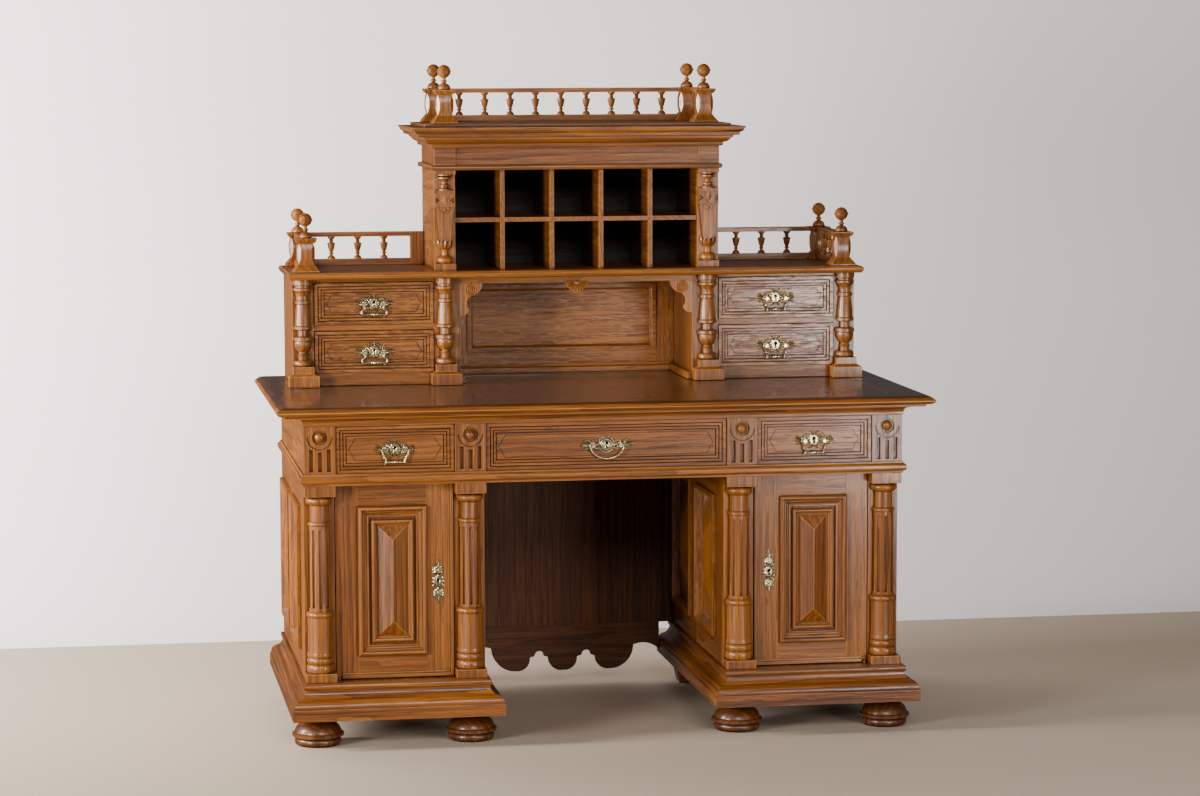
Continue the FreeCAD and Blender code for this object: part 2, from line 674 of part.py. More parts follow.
def column_shaft(x):
    """A turned half column: base rings, plain drum, fluted shaft, neck and cap."""
    z0 = Z_PEDESTAL + COLUMN_BASE_HIGH
    z1 = Z_STRING - COLUMN_BLOCK_HIGH
    foot, drum, shaft, neck = COLUMN_FOOT_R, COLUMN_DRUM_R, COLUMN_SHAFT_R, COLUMN_NECK_R
    drum_low, drum_high = z0 + 48, z0 + 127
    cap = z1 - 20
    profile = [(foot - 2, z0), (foot, z0 + 9, foot - 2, z0 + 18), (drum - 1, z0 + 20),
               (foot - 1, z0 + 28, drum - 1, z0 + 36), (drum - 2, z0 + 38), (drum + 1.5, z0 + 38),
               (drum + 1.5, drum_low - 2), (drum, drum_low), (drum, drum_high), (drum + 2, drum_high + 2),
               (drum + 3, drum_high + 7, drum + 1, drum_high + 12), (shaft + 1.5, drum_high + 15),
               (shaft, cap - 48), (shaft + 2.5, cap - 47), (shaft + 3, cap - 43, shaft + 2, cap - 40),
               (neck, cap - 38), (neck, cap - 2), (shaft + 1, cap), (foot - 1, cap + 10, shaft + 2, z1 - 2),
               (shaft + 2, z1)]
    body = turned(profile, x, COLUMN_AXIS_Y)
    flute_low, flute_high = drum_high + 22, cap - 60
    cutters = []
    for i in range(FLUTE_COUNT):
        angle = math.radians(-90 + (i - (FLUTE_COUNT - 1) / 2) * FLUTE_STEP_DEG)
        fx = x + shaft * math.cos(angle)
        fy = COLUMN_AXIS_Y + shaft * math.sin(angle)
        cutters.append(Part.makeCylinder(FLUTE_R, flute_high - flute_low, V(fx, fy, flute_low)))
        cutters.append(Part.makeSphere(FLUTE_R, V(fx, fy, flute_high)))
    body = body.cut(Part.makeCompound(cutters))
    half = PILASTER_WIDTH / 2
    return body.common(block(x - half, x + half, FRONT - half, PILASTER_FACE, z0, z1))


def pedestal_columns():
    """Four half columns, each with its cap block and base block."""
    half = PILASTER_WIDTH / 2
    pieces = []
    for x in (OUTER_COLUMN_X, INNER_COLUMN_X):
        pieces.append(column_shaft(x))
        pieces.append(block(x - half, x + half, FRONT, PILASTER_FACE, Z_STRING - COLUMN_BLOCK_HIGH, Z_STRING))
        pieces.append(block(x - half, x + half, FRONT, PILASTER_FACE, Z_PEDESTAL,
                            Z_PEDESTAL + COLUMN_BASE_HIGH))
    return pair(pieces)


def plinths():
    """The moulded base of each pedestal: three mitred runs, a rear board and a deck."""
    z0, z1 = Z_PLINTH, Z_PEDESTAL
    fascia = z0 + PLINTH_FASCIA
    bead = z1 - PLINTH_BEAD
    bead_out = PLINTH_BEAD_OUT
    out, edge = PLINTH_OUT, PLINTH_ROUND
    ogee, ogee_z = PLINTH_OGEE_OUT, fascia + PLINTH_OGEE_HIGH
    profile = [(-PLINTH_BOARD, z0), (out, z0), (out, fascia - edge),
               (out - 0.3 * edge, fascia - 0.3 * edge, out - edge, fascia),
               (out - 5, fascia + 10, ogee, ogee_z), (bead_out, ogee_z + 6, bead_out - 4, bead),
               (bead_out - 2, bead), (bead_out, (bead + z1) / 2, bead_out - 2, z1), (-PLINTH_BOARD, z1)]
    front = FRONT - PLINTH_FRONT_EXTRA
    runs = trim_runs(HALF_KNEE, HALF_CASE, front, BACK, profile, PLINTH_BOARD)
    x0, x1 = HALF_KNEE + PLINTH_BOARD, HALF_CASE - PLINTH_BOARD
    rear = block(x0, x1, BACK - PLINTH_BOARD, BACK, z0, z1)
    deck = block(x0, x1, front + PLINTH_BOARD, BACK - PLINTH_BOARD, z1 - INNER_BOARD, z1)
    return pair(runs + [rear, deck])


def foot_places(y):
    """The right pedestal's two places for a foot at a depth."""
    return [(OUTER_COLUMN_X + FOOT_OUTER_SHIFT, y), (INNER_COLUMN_X - FOOT_INNER_SHIFT, y)]


def bun_feet():
    """Turned feet under the front corners."""
    top = FOOT_HEIGHT
    ridge, neck = BUN_R, BUN_NECK_R
    profile = [(BUN_BASE_R, 0), (ridge - 6, 0.4 * BUN_RIDGE_LOW, ridge - 9, BUN_RIDGE_LOW - 4),
               (ridge, BUN_RIDGE_LOW), (ridge, BUN_RIDGE_HIGH), (ridge - 5, BUN_RIDGE_HIGH + 3),
               (neck + 19, BUN_SHOULDER - 10, neck + 2, BUN_SHOULDER - 1),
               (neck, BUN_SHOULDER + 1), (neck, top)]
    return pair([turned(profile, x, y) for x, y in foot_places(FRONT + FOOT_INSET)])


def rear_feet():
    """Plain tapered feet under the back corners, with a corner block up to the plinth's deck."""
    y1 = BACK - PLINTH_BOARD
    y0 = y1 - REAR_FOOT_DEPTH
    half = REAR_FOOT_WIDTH / 2
    feet = []
    for x, _ in foot_places(0):
        low = floor_rect(x - half + REAR_FOOT_TAPER, x + half - REAR_FOOT_TAPER, y0 + REAR_FOOT_TAPER, y1, 0)
        high = floor_rect(x - half, x + half, y0, y1, FOOT_HEIGHT)
        feet.append(frustum(low, high))
    for x in (HALF_KNEE + PLINTH_BOARD + half, HALF_CASE - PLINTH_BOARD - half):
        feet.append(block(x - half, x + half, y0, y1, FOOT_HEIGHT, Z_PEDESTAL - INNER_BOARD))
    return pair(feet)


def front_foot_blocks():
    """Blocks inside the plinth that carry the turned feet."""
    wide = 2 * BUN_NECK_R
    y = FRONT + FOOT_INSET
    y0, y1 = y - BUN_NECK_R, y + BUN_NECK_R
    z0, z1 = FOOT_HEIGHT, Z_PEDESTAL - INNER_BOARD
    inner, outer = HALF_KNEE + PLINTH_BOARD, HALF_CASE - PLINTH_BOARD
    return pair([block(inner, inner + wide, y0, y1, z0, z1), block(outer - wide, outer, y0, y1, z0, z1)])


def kneehole_back():
    """Upright boards at the back of the kneehole and the scalloped rail below them."""
    y1 = BACK - KNEE_BACK_INSET
    y0 = y1 - KNEE_BACK_THICK
    wide = 2 * HALF_KNEE / KNEE_BOARDS
    top = Z_PEDESTAL
    boards = [block(-HALF_KNEE + i * wide, -HALF_KNEE + (i + 1) * wide, y0, y1, top, Z_STRING)
              for i in range(KNEE_BOARDS)]
    lobe, arch, peak = APRON_LOBE_LOW, APRON_ARCH_HIGH, APRON_END_HIGH
    end = HALF_KNEE - PLINTH_OUT
    step = end * APRON_STEP_SHARE
    middle = step / 2
    shoulder = step * APRON_SHOULDER_SHARE
    shoulder_z = arch - APRON_SHOULDER_DROP
    notch_z = arch - 0.75 * APRON_SHOULDER_DROP
    peak_x = (step + 2 * end) / 3
    right = [(0, y0, lobe), (shoulder, y0, lobe + 6, middle - shoulder, y0, shoulder_z),
             (middle - shoulder / 2, y0, notch_z), (middle, y0, arch, middle + shoulder / 2, y0, notch_z),
             (middle + shoulder, y0, shoulder_z), (step - shoulder, y0, lobe + 6, step, y0, lobe),
             (step + 2 * shoulder, y0, lobe + 22, peak_x - shoulder, y0, peak - 5),
             (peak_x, y0, peak, end, y0, peak - 18)]
    half_outline = right + [(end, y0, top), (0, y0, top)]
    half_rail = prism(half_outline, (0, KNEE_BACK_THICK + APRON_RAIL_EXTRA, 0))
    rail = half_rail.fuse(mirrored(half_rail)).removeSplitter()
    return boards + [rail]


def stage_cases():
    """Sides, stiles, rails, dust boards, guides and back of both upper drawer cabinets."""
    x0, x1 = NICHE_HALF_WIDTH, STAGE_HALF_WIDTH - STAGE_SIDE_INSET
    y0, y1 = STAGE_FACE, STAGE_FACE + STAGE_STILE_THICK
    rear = BACK - STAGE_BACK
    in0, in1 = x0 + STAGE_SIDE, x1 - STAGE_SIDE
    low, high = STAGE_OPEN_Z0, STAGE_OPEN_Z1
    middle = low + STAGE_DRAWER_HIGH
    open0, open1 = STAGE_OPEN_X0, STAGE_OPEN_X1
    pieces = [block(x0, in0, y1, BACK, Z_TOP, Z_SHELF), block(in1, x1, y1, BACK, Z_TOP, Z_SHELF),
              block(x0, open0, y0, y1, Z_TOP, Z_SHELF), block(open1, x1, y0, y1, Z_TOP, Z_SHELF),
              block(open0, open1, y0, y1, Z_TOP, low), block(open0, open1, y0, y1, high, Z_SHELF),
              block(open0, open1, y0, y1, middle, middle + STAGE_RAIL),
              block(in0, in1, y1, rear, low - STAGE_RAIL, low),
              block(in0, in1, y1, rear, middle, middle + STAGE_RAIL),
              block(in0, in1, rear, BACK, Z_TOP, Z_SHELF)]
    for z in (low, middle + STAGE_RAIL):
        pieces.append(block(in0, open0, y1, rear, z, z + STAGE_GUIDE_HIGH))
        pieces.append(block(open1, in1, y1, rear, z, z + STAGE_GUIDE_HIGH))
    return pair(pieces)


def stage_column(x):
    """One turned column of the upper cabinets with its chamfered plinth and die."""
    half = STAGE_BLOCK_WIDTH / 2
    die = half - STAGE_DIE_IN
    y0, y1 = STAGE_FRONT, STAGE_FACE
    die_y = y0 + STAGE_DIE_IN
    plinth_z, die_z, base = Z_TOP + STAGE_PLINTH_HIGH, Z_TOP + STAGE_DIE_LOW, Z_TOP + STAGE_DIE_HIGH
    top = Z_SHELF
    plinth = block(x - half, x + half, y0, y1, Z_TOP, plinth_z)
    chamfer = frustum(floor_rect(x - half, x + half, y0, y1, plinth_z),
                      floor_rect(x - die, x + die, die_y, y1, die_z))
    die_block = block(x - die, x + die, die_y, y1, die_z, base)
    profile = [(20, base), (22.5, base + 7, 20, base + 14), (11.5, base + 15), (11.5, base + 25),
               (13.5, base + 28), (10.5, base + 31), (10, base + 34), (18, base + 43, 20, base + 60),
               (23.5, base + 62), (23.5, base + 69), (12, base + 72), (12, base + 86), (22, base + 89),
               (22, base + 94), (19, base + 97), (17.5, (base + top + 38) / 2, 14.5, top - 59),
               (18, top - 57), (18, top - 51), (14.5, top - 49), (14.5, top - 41),
               (16, top - 34, 20, top - 28),
               (22.5, top - 26), (22.5, top - 21), (19.5, top - 19), (19.5, top - 15),
               (23, top - 13), (23, top)]
    shaft = turned(profile, x, STAGE_COLUMN_Y)
    shaft = shaft.common(block(x - half, x + half, y0, y1, base, top))
    return [plinth.fuse(chamfer).fuse(die_block).removeSplitter(), shaft]


def stage_columns():
    """Four columns."""
    return pair(stage_column(STAGE_OUTER_X) + stage_column(STAGE_INNER_X))


def niche_back():
    """Framed and moulded panel at the back of the niche, with a base moulding on three sides."""
    half = NICHE_HALF_WIDTH
    y0 = BACK - NICHE_BACK_INSET
    y1 = y0 + NICHE_BACK_THICK
    base = Z_TOP + NICHE_BASE_HIGH
    open_x = half - NICHE_FRAME_SIDE
    open_z0, open_z1 = base + NICHE_LOW_RAIL, Z_SHELF - NICHE_TOP_RAIL
    frame = [block(-half, -open_x, y0, y1, Z_TOP, Z_SHELF), block(open_x, half, y0, y1, Z_TOP, Z_SHELF),
             block(-open_x, open_x, y0, y1, Z_TOP, open_z0), block(-open_x, open_x, y0, y1, open_z1, Z_SHELF)]
    sunk = y0 + NICHE_PANEL_SINK
    panel = block(-open_x, open_x, sunk, y1, open_z0, open_z1)
    seat = facing_rect(-open_x, open_x, open_z0, open_z1, sunk)
    lifted = facing_rect(-open_x, open_x, open_z0, open_z1, y0 - NICHE_MOULD_RISE)
    hollow = frustum(shrunk(seat, NICHE_MOULD), shrunk(lifted, NICHE_MOULD - NICHE_MOULD_SLOPE))
    mould = frustum(seat, lifted).cut(hollow)
    out = NICHE_BASE_OUT
    end = half - out
    strip = [(-end, y0, Z_TOP), (-end, y0 - out, Z_TOP), (-end, y0 - out, base - 8),
             (-end, y0 - 4, base - 3, -end, y0 - 3, base), (-end, y0, base)]
    rear = prism(strip, (2 * end, 0, 0))
    sides = pair([block(end, half, STAGE_FACE, y0, Z_TOP, base - 4)])
    return frame + [panel, mould, rear] + sides


def niche_apron():
    """The strip under the shelf over the niche, its two scroll brackets and the carved pendant."""
    half = NICHE_HALF_WIDTH
    y0, thick = STAGE_FACE, NICHE_APRON_THICK
    z0 = Z_SHELF - NICHE_APRON_HIGH
    strip = block(-half, half, y0, y0 + thick, z0, Z_SHELF)
    wide, high = BRACKET_WIDE, BRACKET_HIGH
    bracket = prism([(half, y0, z0), (half - wide, y0, z0),
                     (half - 0.81 * wide, y0, z0 - 0.29 * high, half - 0.5 * wide, y0, z0 - 0.39 * high),
                     (half - 0.31 * wide, y0, z0 - 0.55 * high, half - 0.41 * wide, y0, z0 - 0.81 * high),
                     (half - 0.26 * wide, y0, z0 - 0.96 * high, half, y0, z0 - high)], (0, thick, 0))
    span, drop, face = PENDANT_HALF, PENDANT_HIGH, y0 - PENDANT_OUT
    pendant = prism([(-span, face, z0), (-0.7 * span, face, z0 - 0.54 * drop, 0, face, z0 - drop),
                     (0.7 * span, face, z0 - 0.54 * drop, span, face, z0)], (0, thick + PENDANT_OUT, 0))
    return [strip, pendant] + pair([bracket])


def shelf_board():
    """The board over the upper cabinets, its edge rounded from below to a sharp beak."""
    half = STAGE_HALF_WIDTH - SHELF_NOSE
    front = STAGE_FRONT - SHELF_OVERHANG + SHELF_NOSE
    z0, z1 = Z_SHELF, Z_STAGE
    inward = SHELF_EDGE_BOARD
    beak = z1 - SHELF_BEAK
    profile = [(-inward, z0), (0, z0), (SHELF_NOSE * 0.72, z0 + (beak - z0) * 0.35, SHELF_NOSE, beak),
               (SHELF_NOSE / 2, z1), (-inward, z1)]
    runs = trim_runs(-half, half, front, BACK, profile, inward)
    core = block(-half + inward, half - inward, front + inward, BACK, z0, z1)
    return runs + [core]


def pigeonholes():
    """Outer sides, linings, back, upright dividers and the middle shelf."""
    outer = CENTRE_HALF_WIDTH - CENTRE_SIDE_INSET
    lining = CENTRE_HALF_WIDTH - CENTRE_PILASTER
    y0, y1 = CENTRE_FACE, BACK - STAGE_BACK
    z0, z1 = Z_STAGE, Z_CENTRE_STRING
    cell = (2 * lining - (PIGEON_COLUMNS - 1) * PIGEON_BOARD) / PIGEON_COLUMNS
    shelf_z = z0 + PIGEON_HEIGHT * PIGEON_SHELF_SHARE - PIGEON_BOARD / 2
    pieces = pair([block(outer - CENTRE_SIDE, outer, y0, y1, z0, z1),
                   block(lining, lining + PIGEON_BOARD, y0, y1, z0, z1),
                   block(lining + PIGEON_BOARD, outer - CENTRE_SIDE, y0, y0 + PIGEON_BOARD, z0, z1)])
    pieces.append(block(-outer, outer, y1, BACK, z0, z1))
    for i in range(PIGEON_COLUMNS):
        left = -lining + i * (cell + PIGEON_BOARD)
        pieces.append(block(left, left + cell, y0, y1, shelf_z, shelf_z + PIGEON_BOARD))
        if i:
            pieces.append(block(left - PIGEON_BOARD, left, y0, y1, z0, z1))
    return pieces


def herm_turnings(x, axis, z0, top):
    """The lathe pieces of a carved pilaster: bun and stem, leaf collar, and the spindle under the cap."""
    plinth_z, bun_z, foot_z, collar_z, plate_z = (z0 + high for high in (
        HERM_PLINTH_HIGH, HERM_BUN_HIGH, HERM_FOOT_HIGH, HERM_COLLAR_HIGH, HERM_PLATE_HIGH))
    bun, stem, collar, bulge = HERM_BUN_R, HERM_STEM_R, HERM_COLLAR_R, HERM_SPINDLE_R
    foot = turned([(bun - 4, plinth_z), (bun, (plinth_z + bun_z) / 2, bun - 4, bun_z), (stem + 2, bun_z + 2),
                   (stem, bun_z + 4), (stem, foot_z - 4), (stem + 3, foot_z)], x, axis)
    leaves = turned([(stem + 2, foot_z), (collar, (foot_z + collar_z) / 2, collar - 4, collar_z)], x, axis)
    spindle = turned([(bulge - 1, plate_z), (bulge - 1, plate_z + 3), (stem + 1, plate_z + 6),
                      (stem + 1, plate_z + 8), (stem + 4, plate_z + 10), (stem + 4, plate_z + 12),
                      (stem, plate_z + 14), (stem + 1, top - 14, bulge - 2, top - 11), (bulge, top - 10),
                      (bulge, top - 7), (bulge - 4, top - 5), (bulge + 1, top - 3), (bulge + 1, top)],
                     x, axis)
    return [foot, leaves, spindle]


def herm_shaft(x, y0, y1, z0):
    """The tapered shaft with its sunk half-round and boss."""
    collar_z, shaft_z = z0 + HERM_COLLAR_HIGH, z0 + HERM_SHAFT_HIGH
    low, wide = HERM_SHAFT_LOW_HALF, HERM_SHAFT_HALF
    shaft = frustum(floor_rect(x - low, x + low, y0, y1, collar_z),
                    floor_rect(x - wide, x + wide, y0, y1, shaft_z))
    disc = Part.makeCylinder(LUNETTE_R, 1 + LUNETTE_DEPTH, V(x, y0 - 1, shaft_z), V(0, 1, 0))
    half_round = disc.common(block(x - wide, x + wide, y0 - 1, y1, collar_z, shaft_z))
    boss = Part.makeSphere(LUNETTE_BOSS_R, V(x, y0 + LUNETTE_DEPTH, shaft_z - LUNETTE_R / 2))
    seat = block(x - wide, x + wide, y0 - wide, y0 + LUNETTE_DEPTH, collar_z, shaft_z)
    return shaft.cut(half_round).fuse(boss.common(seat)).removeSplitter()


def herm_die(x, y0, y1, z0):
    """The die over the shaft with a diamond raised on its face."""
    half, low, high = HERM_DIE_HALF, z0 + HERM_SHAFT_HIGH, z0 + HERM_DIE_HIGH
    middle = (low + high) / 2

    def diamond(share, y):
        across, up = DIAMOND_HALF * share, DIAMOND_HIGH * share
        return [(x - across, y, middle), (x, y, middle - up), (x + across, y, middle), (x, y, middle + up)]

    raised = frustum(diamond(1, y0), diamond(0.1, y0 - DIAMOND_OUT))
    die = block(x - half, x + half, y0, y1, low, high).fuse(raised)
    for side in (-1, 1):
        tip, foot = x + side * (DIAMOND_HALF + EYE_GAP), x + side * (half - EYE_GAP)
        eye = [(tip, y0 - 1, middle), (foot, y0 - 1, middle - EYE_HALF), (foot, y0 - 1, middle + EYE_HALF)]
        die = die.cut(prism(eye, (0, 1 + EYE_DEPTH, 0)))
    return die.removeSplitter()


def herm(x):
    """One carved pilaster: plinth, turned foot, tapered shaft, die, half baluster and cap block."""
    y0, y1 = CENTRE_FRONT, CENTRE_FACE - HERM_BOARD
    z0, z_end = Z_STAGE, Z_CENTRE_STRING
    half = CENTRE_PILASTER / 2
    top = z_end - HERM_CAP_HIGH
    keep = block(x - half, x + half, y0 - half, y1, z0, z_end)
    turnings = [piece.common(keep) for piece in herm_turnings(x, y1, z0, top)]
    board = block(x - half, x + half, y1, CENTRE_FACE, z0, z_end)
    plinth = block(x - half, x + half, y0, y1, z0, z0 + HERM_PLINTH_HIGH)
    wide = HERM_DIE_HALF
    plate = block(x - wide, x + wide, y0, y1, z0 + HERM_DIE_HIGH, z0 + HERM_PLATE_HIGH)
    cap = block(x - half, x + half, y0, y1, top, z_end)
    return [board, plinth, herm_shaft(x, y0 + 2, y1, z0), herm_die(x, y0 + 1, y1, z0), plate, cap] + turnings


def herms():
    """Two carved pilasters."""
    return pair(herm(CENTRE_HALF_WIDTH - CENTRE_PILASTER / 2))


def cornice():
    """String, frieze and stepped cornice over the pigeonholes, with the platform for the gallery."""
    half, front = CENTRE_HALF_WIDTH, CENTRE_FRONT
    z0, z_frieze = Z_CENTRE_STRING, Z_CENTRE_FRIEZE
    bead = CENTRE_STRING_OUT
    string = [(0, z0), (bead - 2, z0), (bead, (z0 + z_frieze) / 2, bead - 2, z_frieze), (0, z_frieze)]
    pieces = trim_runs(-half, half, front, BACK, string)
    pieces.append(block(-half, half, front, BACK, z0, z_frieze))
    recess = CENTRE_FRIEZE_RECESS
    pieces.append(block(-half + recess, half - recess, front + recess, BACK, z_frieze, Z_CORNICE))
    pieces += pair([block(half - CENTRE_PILASTER, half, front, front + recess, z_frieze, Z_CORNICE)])
    z1, z2 = Z_CORNICE, Z_CORNICE_TOP
    out = CORNICE_OUT
    steps = [(0, z1), (6, z1), (8, z1 + 5, 8, z1 + 9), (14, z1 + 10, 24, z1 + 20), (28, z1 + 20),
             (28, z1 + 25), (out - 12, z1 + 27), (out - 12, z1 + 34), (out - 6, z1 + 36, out - 3, z2 - 5),
             (out, z2 - 5), (out, z2), (0, z2)]
    pieces += trim_runs(-half, half, front, BACK, steps)
    pieces.append(block(-half, half, front, BACK, z1, z2))
    edge = half + out - PLATFORM_INSET
    pieces.append(block(-edge, edge, front - out + PLATFORM_INSET, BACK, z2, Z_PLATFORM))
    return pieces


def square(x, y, half, z):
    """The corners of a level square round an upright axis."""
    return floor_rect(x - half, x + half, y - half, y + half, z)


def post_flare_half(rise):
    """Half the width of a post's flared base at a height over its foot."""
    foot, head = POST_BASE_SQUARE / 2, POST_END_SQUARE / 2 + POST_LEDGE
    share = (rise - POST_PLINTH_HIGH) / (POST_BASE_HIGH - POST_PLINTH_HIGH)
    return foot + (head - foot) * max(share, 0)


def post_body(x, y, z0, z1):
    """A square body that swells to its middle, its four corners cut flat so that each cut is a lens."""
    end, swell = POST_END_SQUARE / 2, POST_SQUARE / 2
    low, high = z0 + POST_SLOPE_HIGH, z1 - POST_SLOPE_HIGH
    body = block(x - swell, x + swell, y - swell, y + swell, low, high)
    body = body.fuse([frustum(square(x, y, end, z0), square(x, y, swell, low)),
                      frustum(square(x, y, swell, high), square(x, y, end, z1))])
    reach = 2 * end
    corners = [(x + reach, y, z0), (x, y + reach, z0), (x - reach, y, z0), (x, y - reach, z0)]
    return body.common(prism(corners, (0, 0, z1 - z0)))


def finial(x, y, z):
    """A turned finial: domed foot, ringed neck and a ball with a ring round its middle."""
    r, foot, ring = FINIAL_BALL_R, FINIAL_FOOT_R, FINIAL_BALL_R + FINIAL_RING_OUT
    middle = z + FINIAL_NECK_HIGH + r
    return turned([(foot - 1, z), (foot, z + 3), (foot * 0.8, z + 10.5, foot / 3, z + 15), (4.5, z + 16.5),
                   (7.5, z + 19), (7.5, z + 20.5), (4.5, z + 23), (4.5, z + 25), (5, middle - r + 1),
                   (r * 0.8, middle - r * 0.6, r, middle - 1.5), (ring, middle - 0.5), (ring, middle + 0.5),
                   (r, middle + 1.5), (r * 0.8, middle + r * 0.6, 1, middle + r)], x, y)


def gallery_post(x, y, z):
    """A post on a flared base, with an undercut cap and a ball finial."""
    base = POST_BASE_SQUARE / 2
    z0, z1 = z + POST_PLINTH_HIGH, z + POST_BASE_HIGH
    z2 = z1 + POST_BODY_HIGH
    z3 = z2 + POST_CAP_HIGH
    plinth = block(x - base, x + base, y - base, y + base, z, z0)
    flare = frustum(square(x, y, base, z0), square(x, y, post_flare_half(POST_BASE_HIGH), z1))
    wide = POST_CAP_SQUARE / 2
    bevel = frustum(square(x, y, POST_CAP_LOW_SQUARE / 2, z2), square(x, y, wide, z3 - POST_CAP_EDGE))
    edge = block(x - wide, x + wide, y - wide, y + wide, z3 - POST_CAP_EDGE, z3)
    post = plinth.fuse([flare, post_body(x, y, z1, z2), bevel, edge]).removeSplitter()
    return [post, finial(x, y, z3)]


def baluster(x, y, z, high):
    """A turned vase baluster, its shoulder in the upper half."""
    r = BALUSTER_R
    top = z + high
    profile = [(r, z), (r, z + 2), (r - 2, z + 6, 3.5, z + 9), (3.5, z + 11), (r - 3, z + 12.5),
               (r - 3, z + 14), (3.5, z + 16), (r - 2, top - 28, r - 0.5, top - 19), (r + 1, top - 18),
               (r + 1, top - 16.5), (5, top - 14), (4, top - 12), (5.5, top - 10), (4, top - 8),
               (r - 0.5, top - 2), (r - 0.5, top)]
    return turned(profile, x, y)


def rail(along, across, low, high, z0, z1):
    """A bar between two ends that may slope: low and high are its spans at the levels z0 and z1."""
    d = RAIL_DEPTH / 2
    if along == "x":
        return frustum(floor_rect(low[0], low[1], across - d, across + d, z0),
                       floor_rect(high[0], high[1], across - d, across + d, z1))
    return frustum(floor_rect(across - d, across + d, low[0], low[1], z0),
                   floor_rect(across - d, across + d, high[0], high[1], z1))


def railing(along, across, ends, z, places):
    """Two rails fitted to the posts at their ends, and the balusters between; an end is (place, inward).

    Inward is 1 or -1 for a flared post, whose slopes the rails follow, and 0 for a flat face."""
    def span(half):
        return [place + inward * half for place, inward in ends]

    foot, z_top = z + POST_PLINTH_HIGH, z + RAIL_LOW_HIGH + BALUSTER_HIGH
    base = span(POST_BASE_SQUARE / 2)
    low = rail(along, across, base, base, z, foot).fuse(
        rail(along, across, base, span(post_flare_half(RAIL_LOW_HIGH)), foot, z + RAIL_LOW_HIGH))
    cap, z_edge = span(POST_CAP_SQUARE / 2), z_top + POST_CAP_HIGH - POST_CAP_EDGE
    top = rail(along, across, span(POST_CAP_LOW_SQUARE / 2), cap, z_top, z_edge).fuse(
        rail(along, across, cap, cap, z_edge, z_top + RAIL_HIGH))
    pieces = [low.removeSplitter(), top.removeSplitter()]
    for place in places:
        x, y = (place, across) if along == "x" else (across, place)
        pieces.append(baluster(x, y, z + RAIL_LOW_HIGH, BALUSTER_HIGH))
    return pieces


def spread(start, end, count):
    """Even places between two ends."""
    return [start + (end - start) * (i + 1) / (count + 1) for i in range(count)]


def gallery_posts():
    """Eight posts with finials: four on the shelf board, four on the cornice."""
    pieces = []
    for y in (SIDE_POST_FRONT_Y, BACK_POST_Y):
        pieces += gallery_post(SIDE_POST_X, y, Z_STAGE)
    for y in (TOP_POST_FRONT_Y, BACK_POST_Y):
        pieces += gallery_post(TOP_POST_HALF_SPAN, y, Z_PLATFORM)
    return pair(pieces)


def gallery_railings():
    """Rails and balusters between the posts; each shelf gallery ends in a flat post at the centre cabinet."""
    wall = CENTRE_HALF_WIDTH
    post_end = wall + END_POST
    d = RAIL_DEPTH / 2
    high = RAIL_LOW_HIGH + BALUSTER_HIGH + RAIL_HIGH
    x, front, back, span = SIDE_POST_X, SIDE_POST_FRONT_Y, BACK_POST_Y, TOP_POST_HALF_SPAN
    side = [block(wall, post_end, back - d, back + d, Z_STAGE, Z_STAGE + high)]
    side += railing("x", back, ((post_end, 0), (x, -1)), Z_STAGE,
                    spread(post_end, x - POST_END_SQUARE / 2, SIDE_BALUSTERS))
    side += railing("y", x, ((front, 1), (back, -1)), Z_STAGE, spread(front, back, SIDE_BALUSTERS))
    rear = railing("x", back, ((-span, 1), (span, -1)), Z_PLATFORM, spread(-span, span, TOP_BALUSTERS))
    return pair(side) + rear


def rounded_lozenge(x, y, z, wide, high, thick):
    """A plate pointed left and right with swelling edges, its face at y and its back behind."""
    a, b = wide / 2, high / 2
    sx, sz = a * PLATE_SWELL_X, b * PLATE_SWELL_Z
    return prism([(x - a, y, z), (x - sx, y, z + sz, x, y, z + b), (x + sx, y, z + sz, x + a, y, z),
                  (x + sx, y, z - sz, x, y, z - b), (x - sx, y, z - sz, x - a, y, z)], (0, thick, 0))


def keyhole(x, y, z, deep):
    """The cutter for a keyhole with its slot below."""
    hole = Part.makeCylinder(KEYHOLE_R, deep, V(x, y, z), V(0, 1, 0))
    half = KEYHOLE_R * KEY_SLOT_SHARE
    return hole.fuse(block(x - half, x + half, y, y + deep, z - KEYHOLE_SLOT, z))


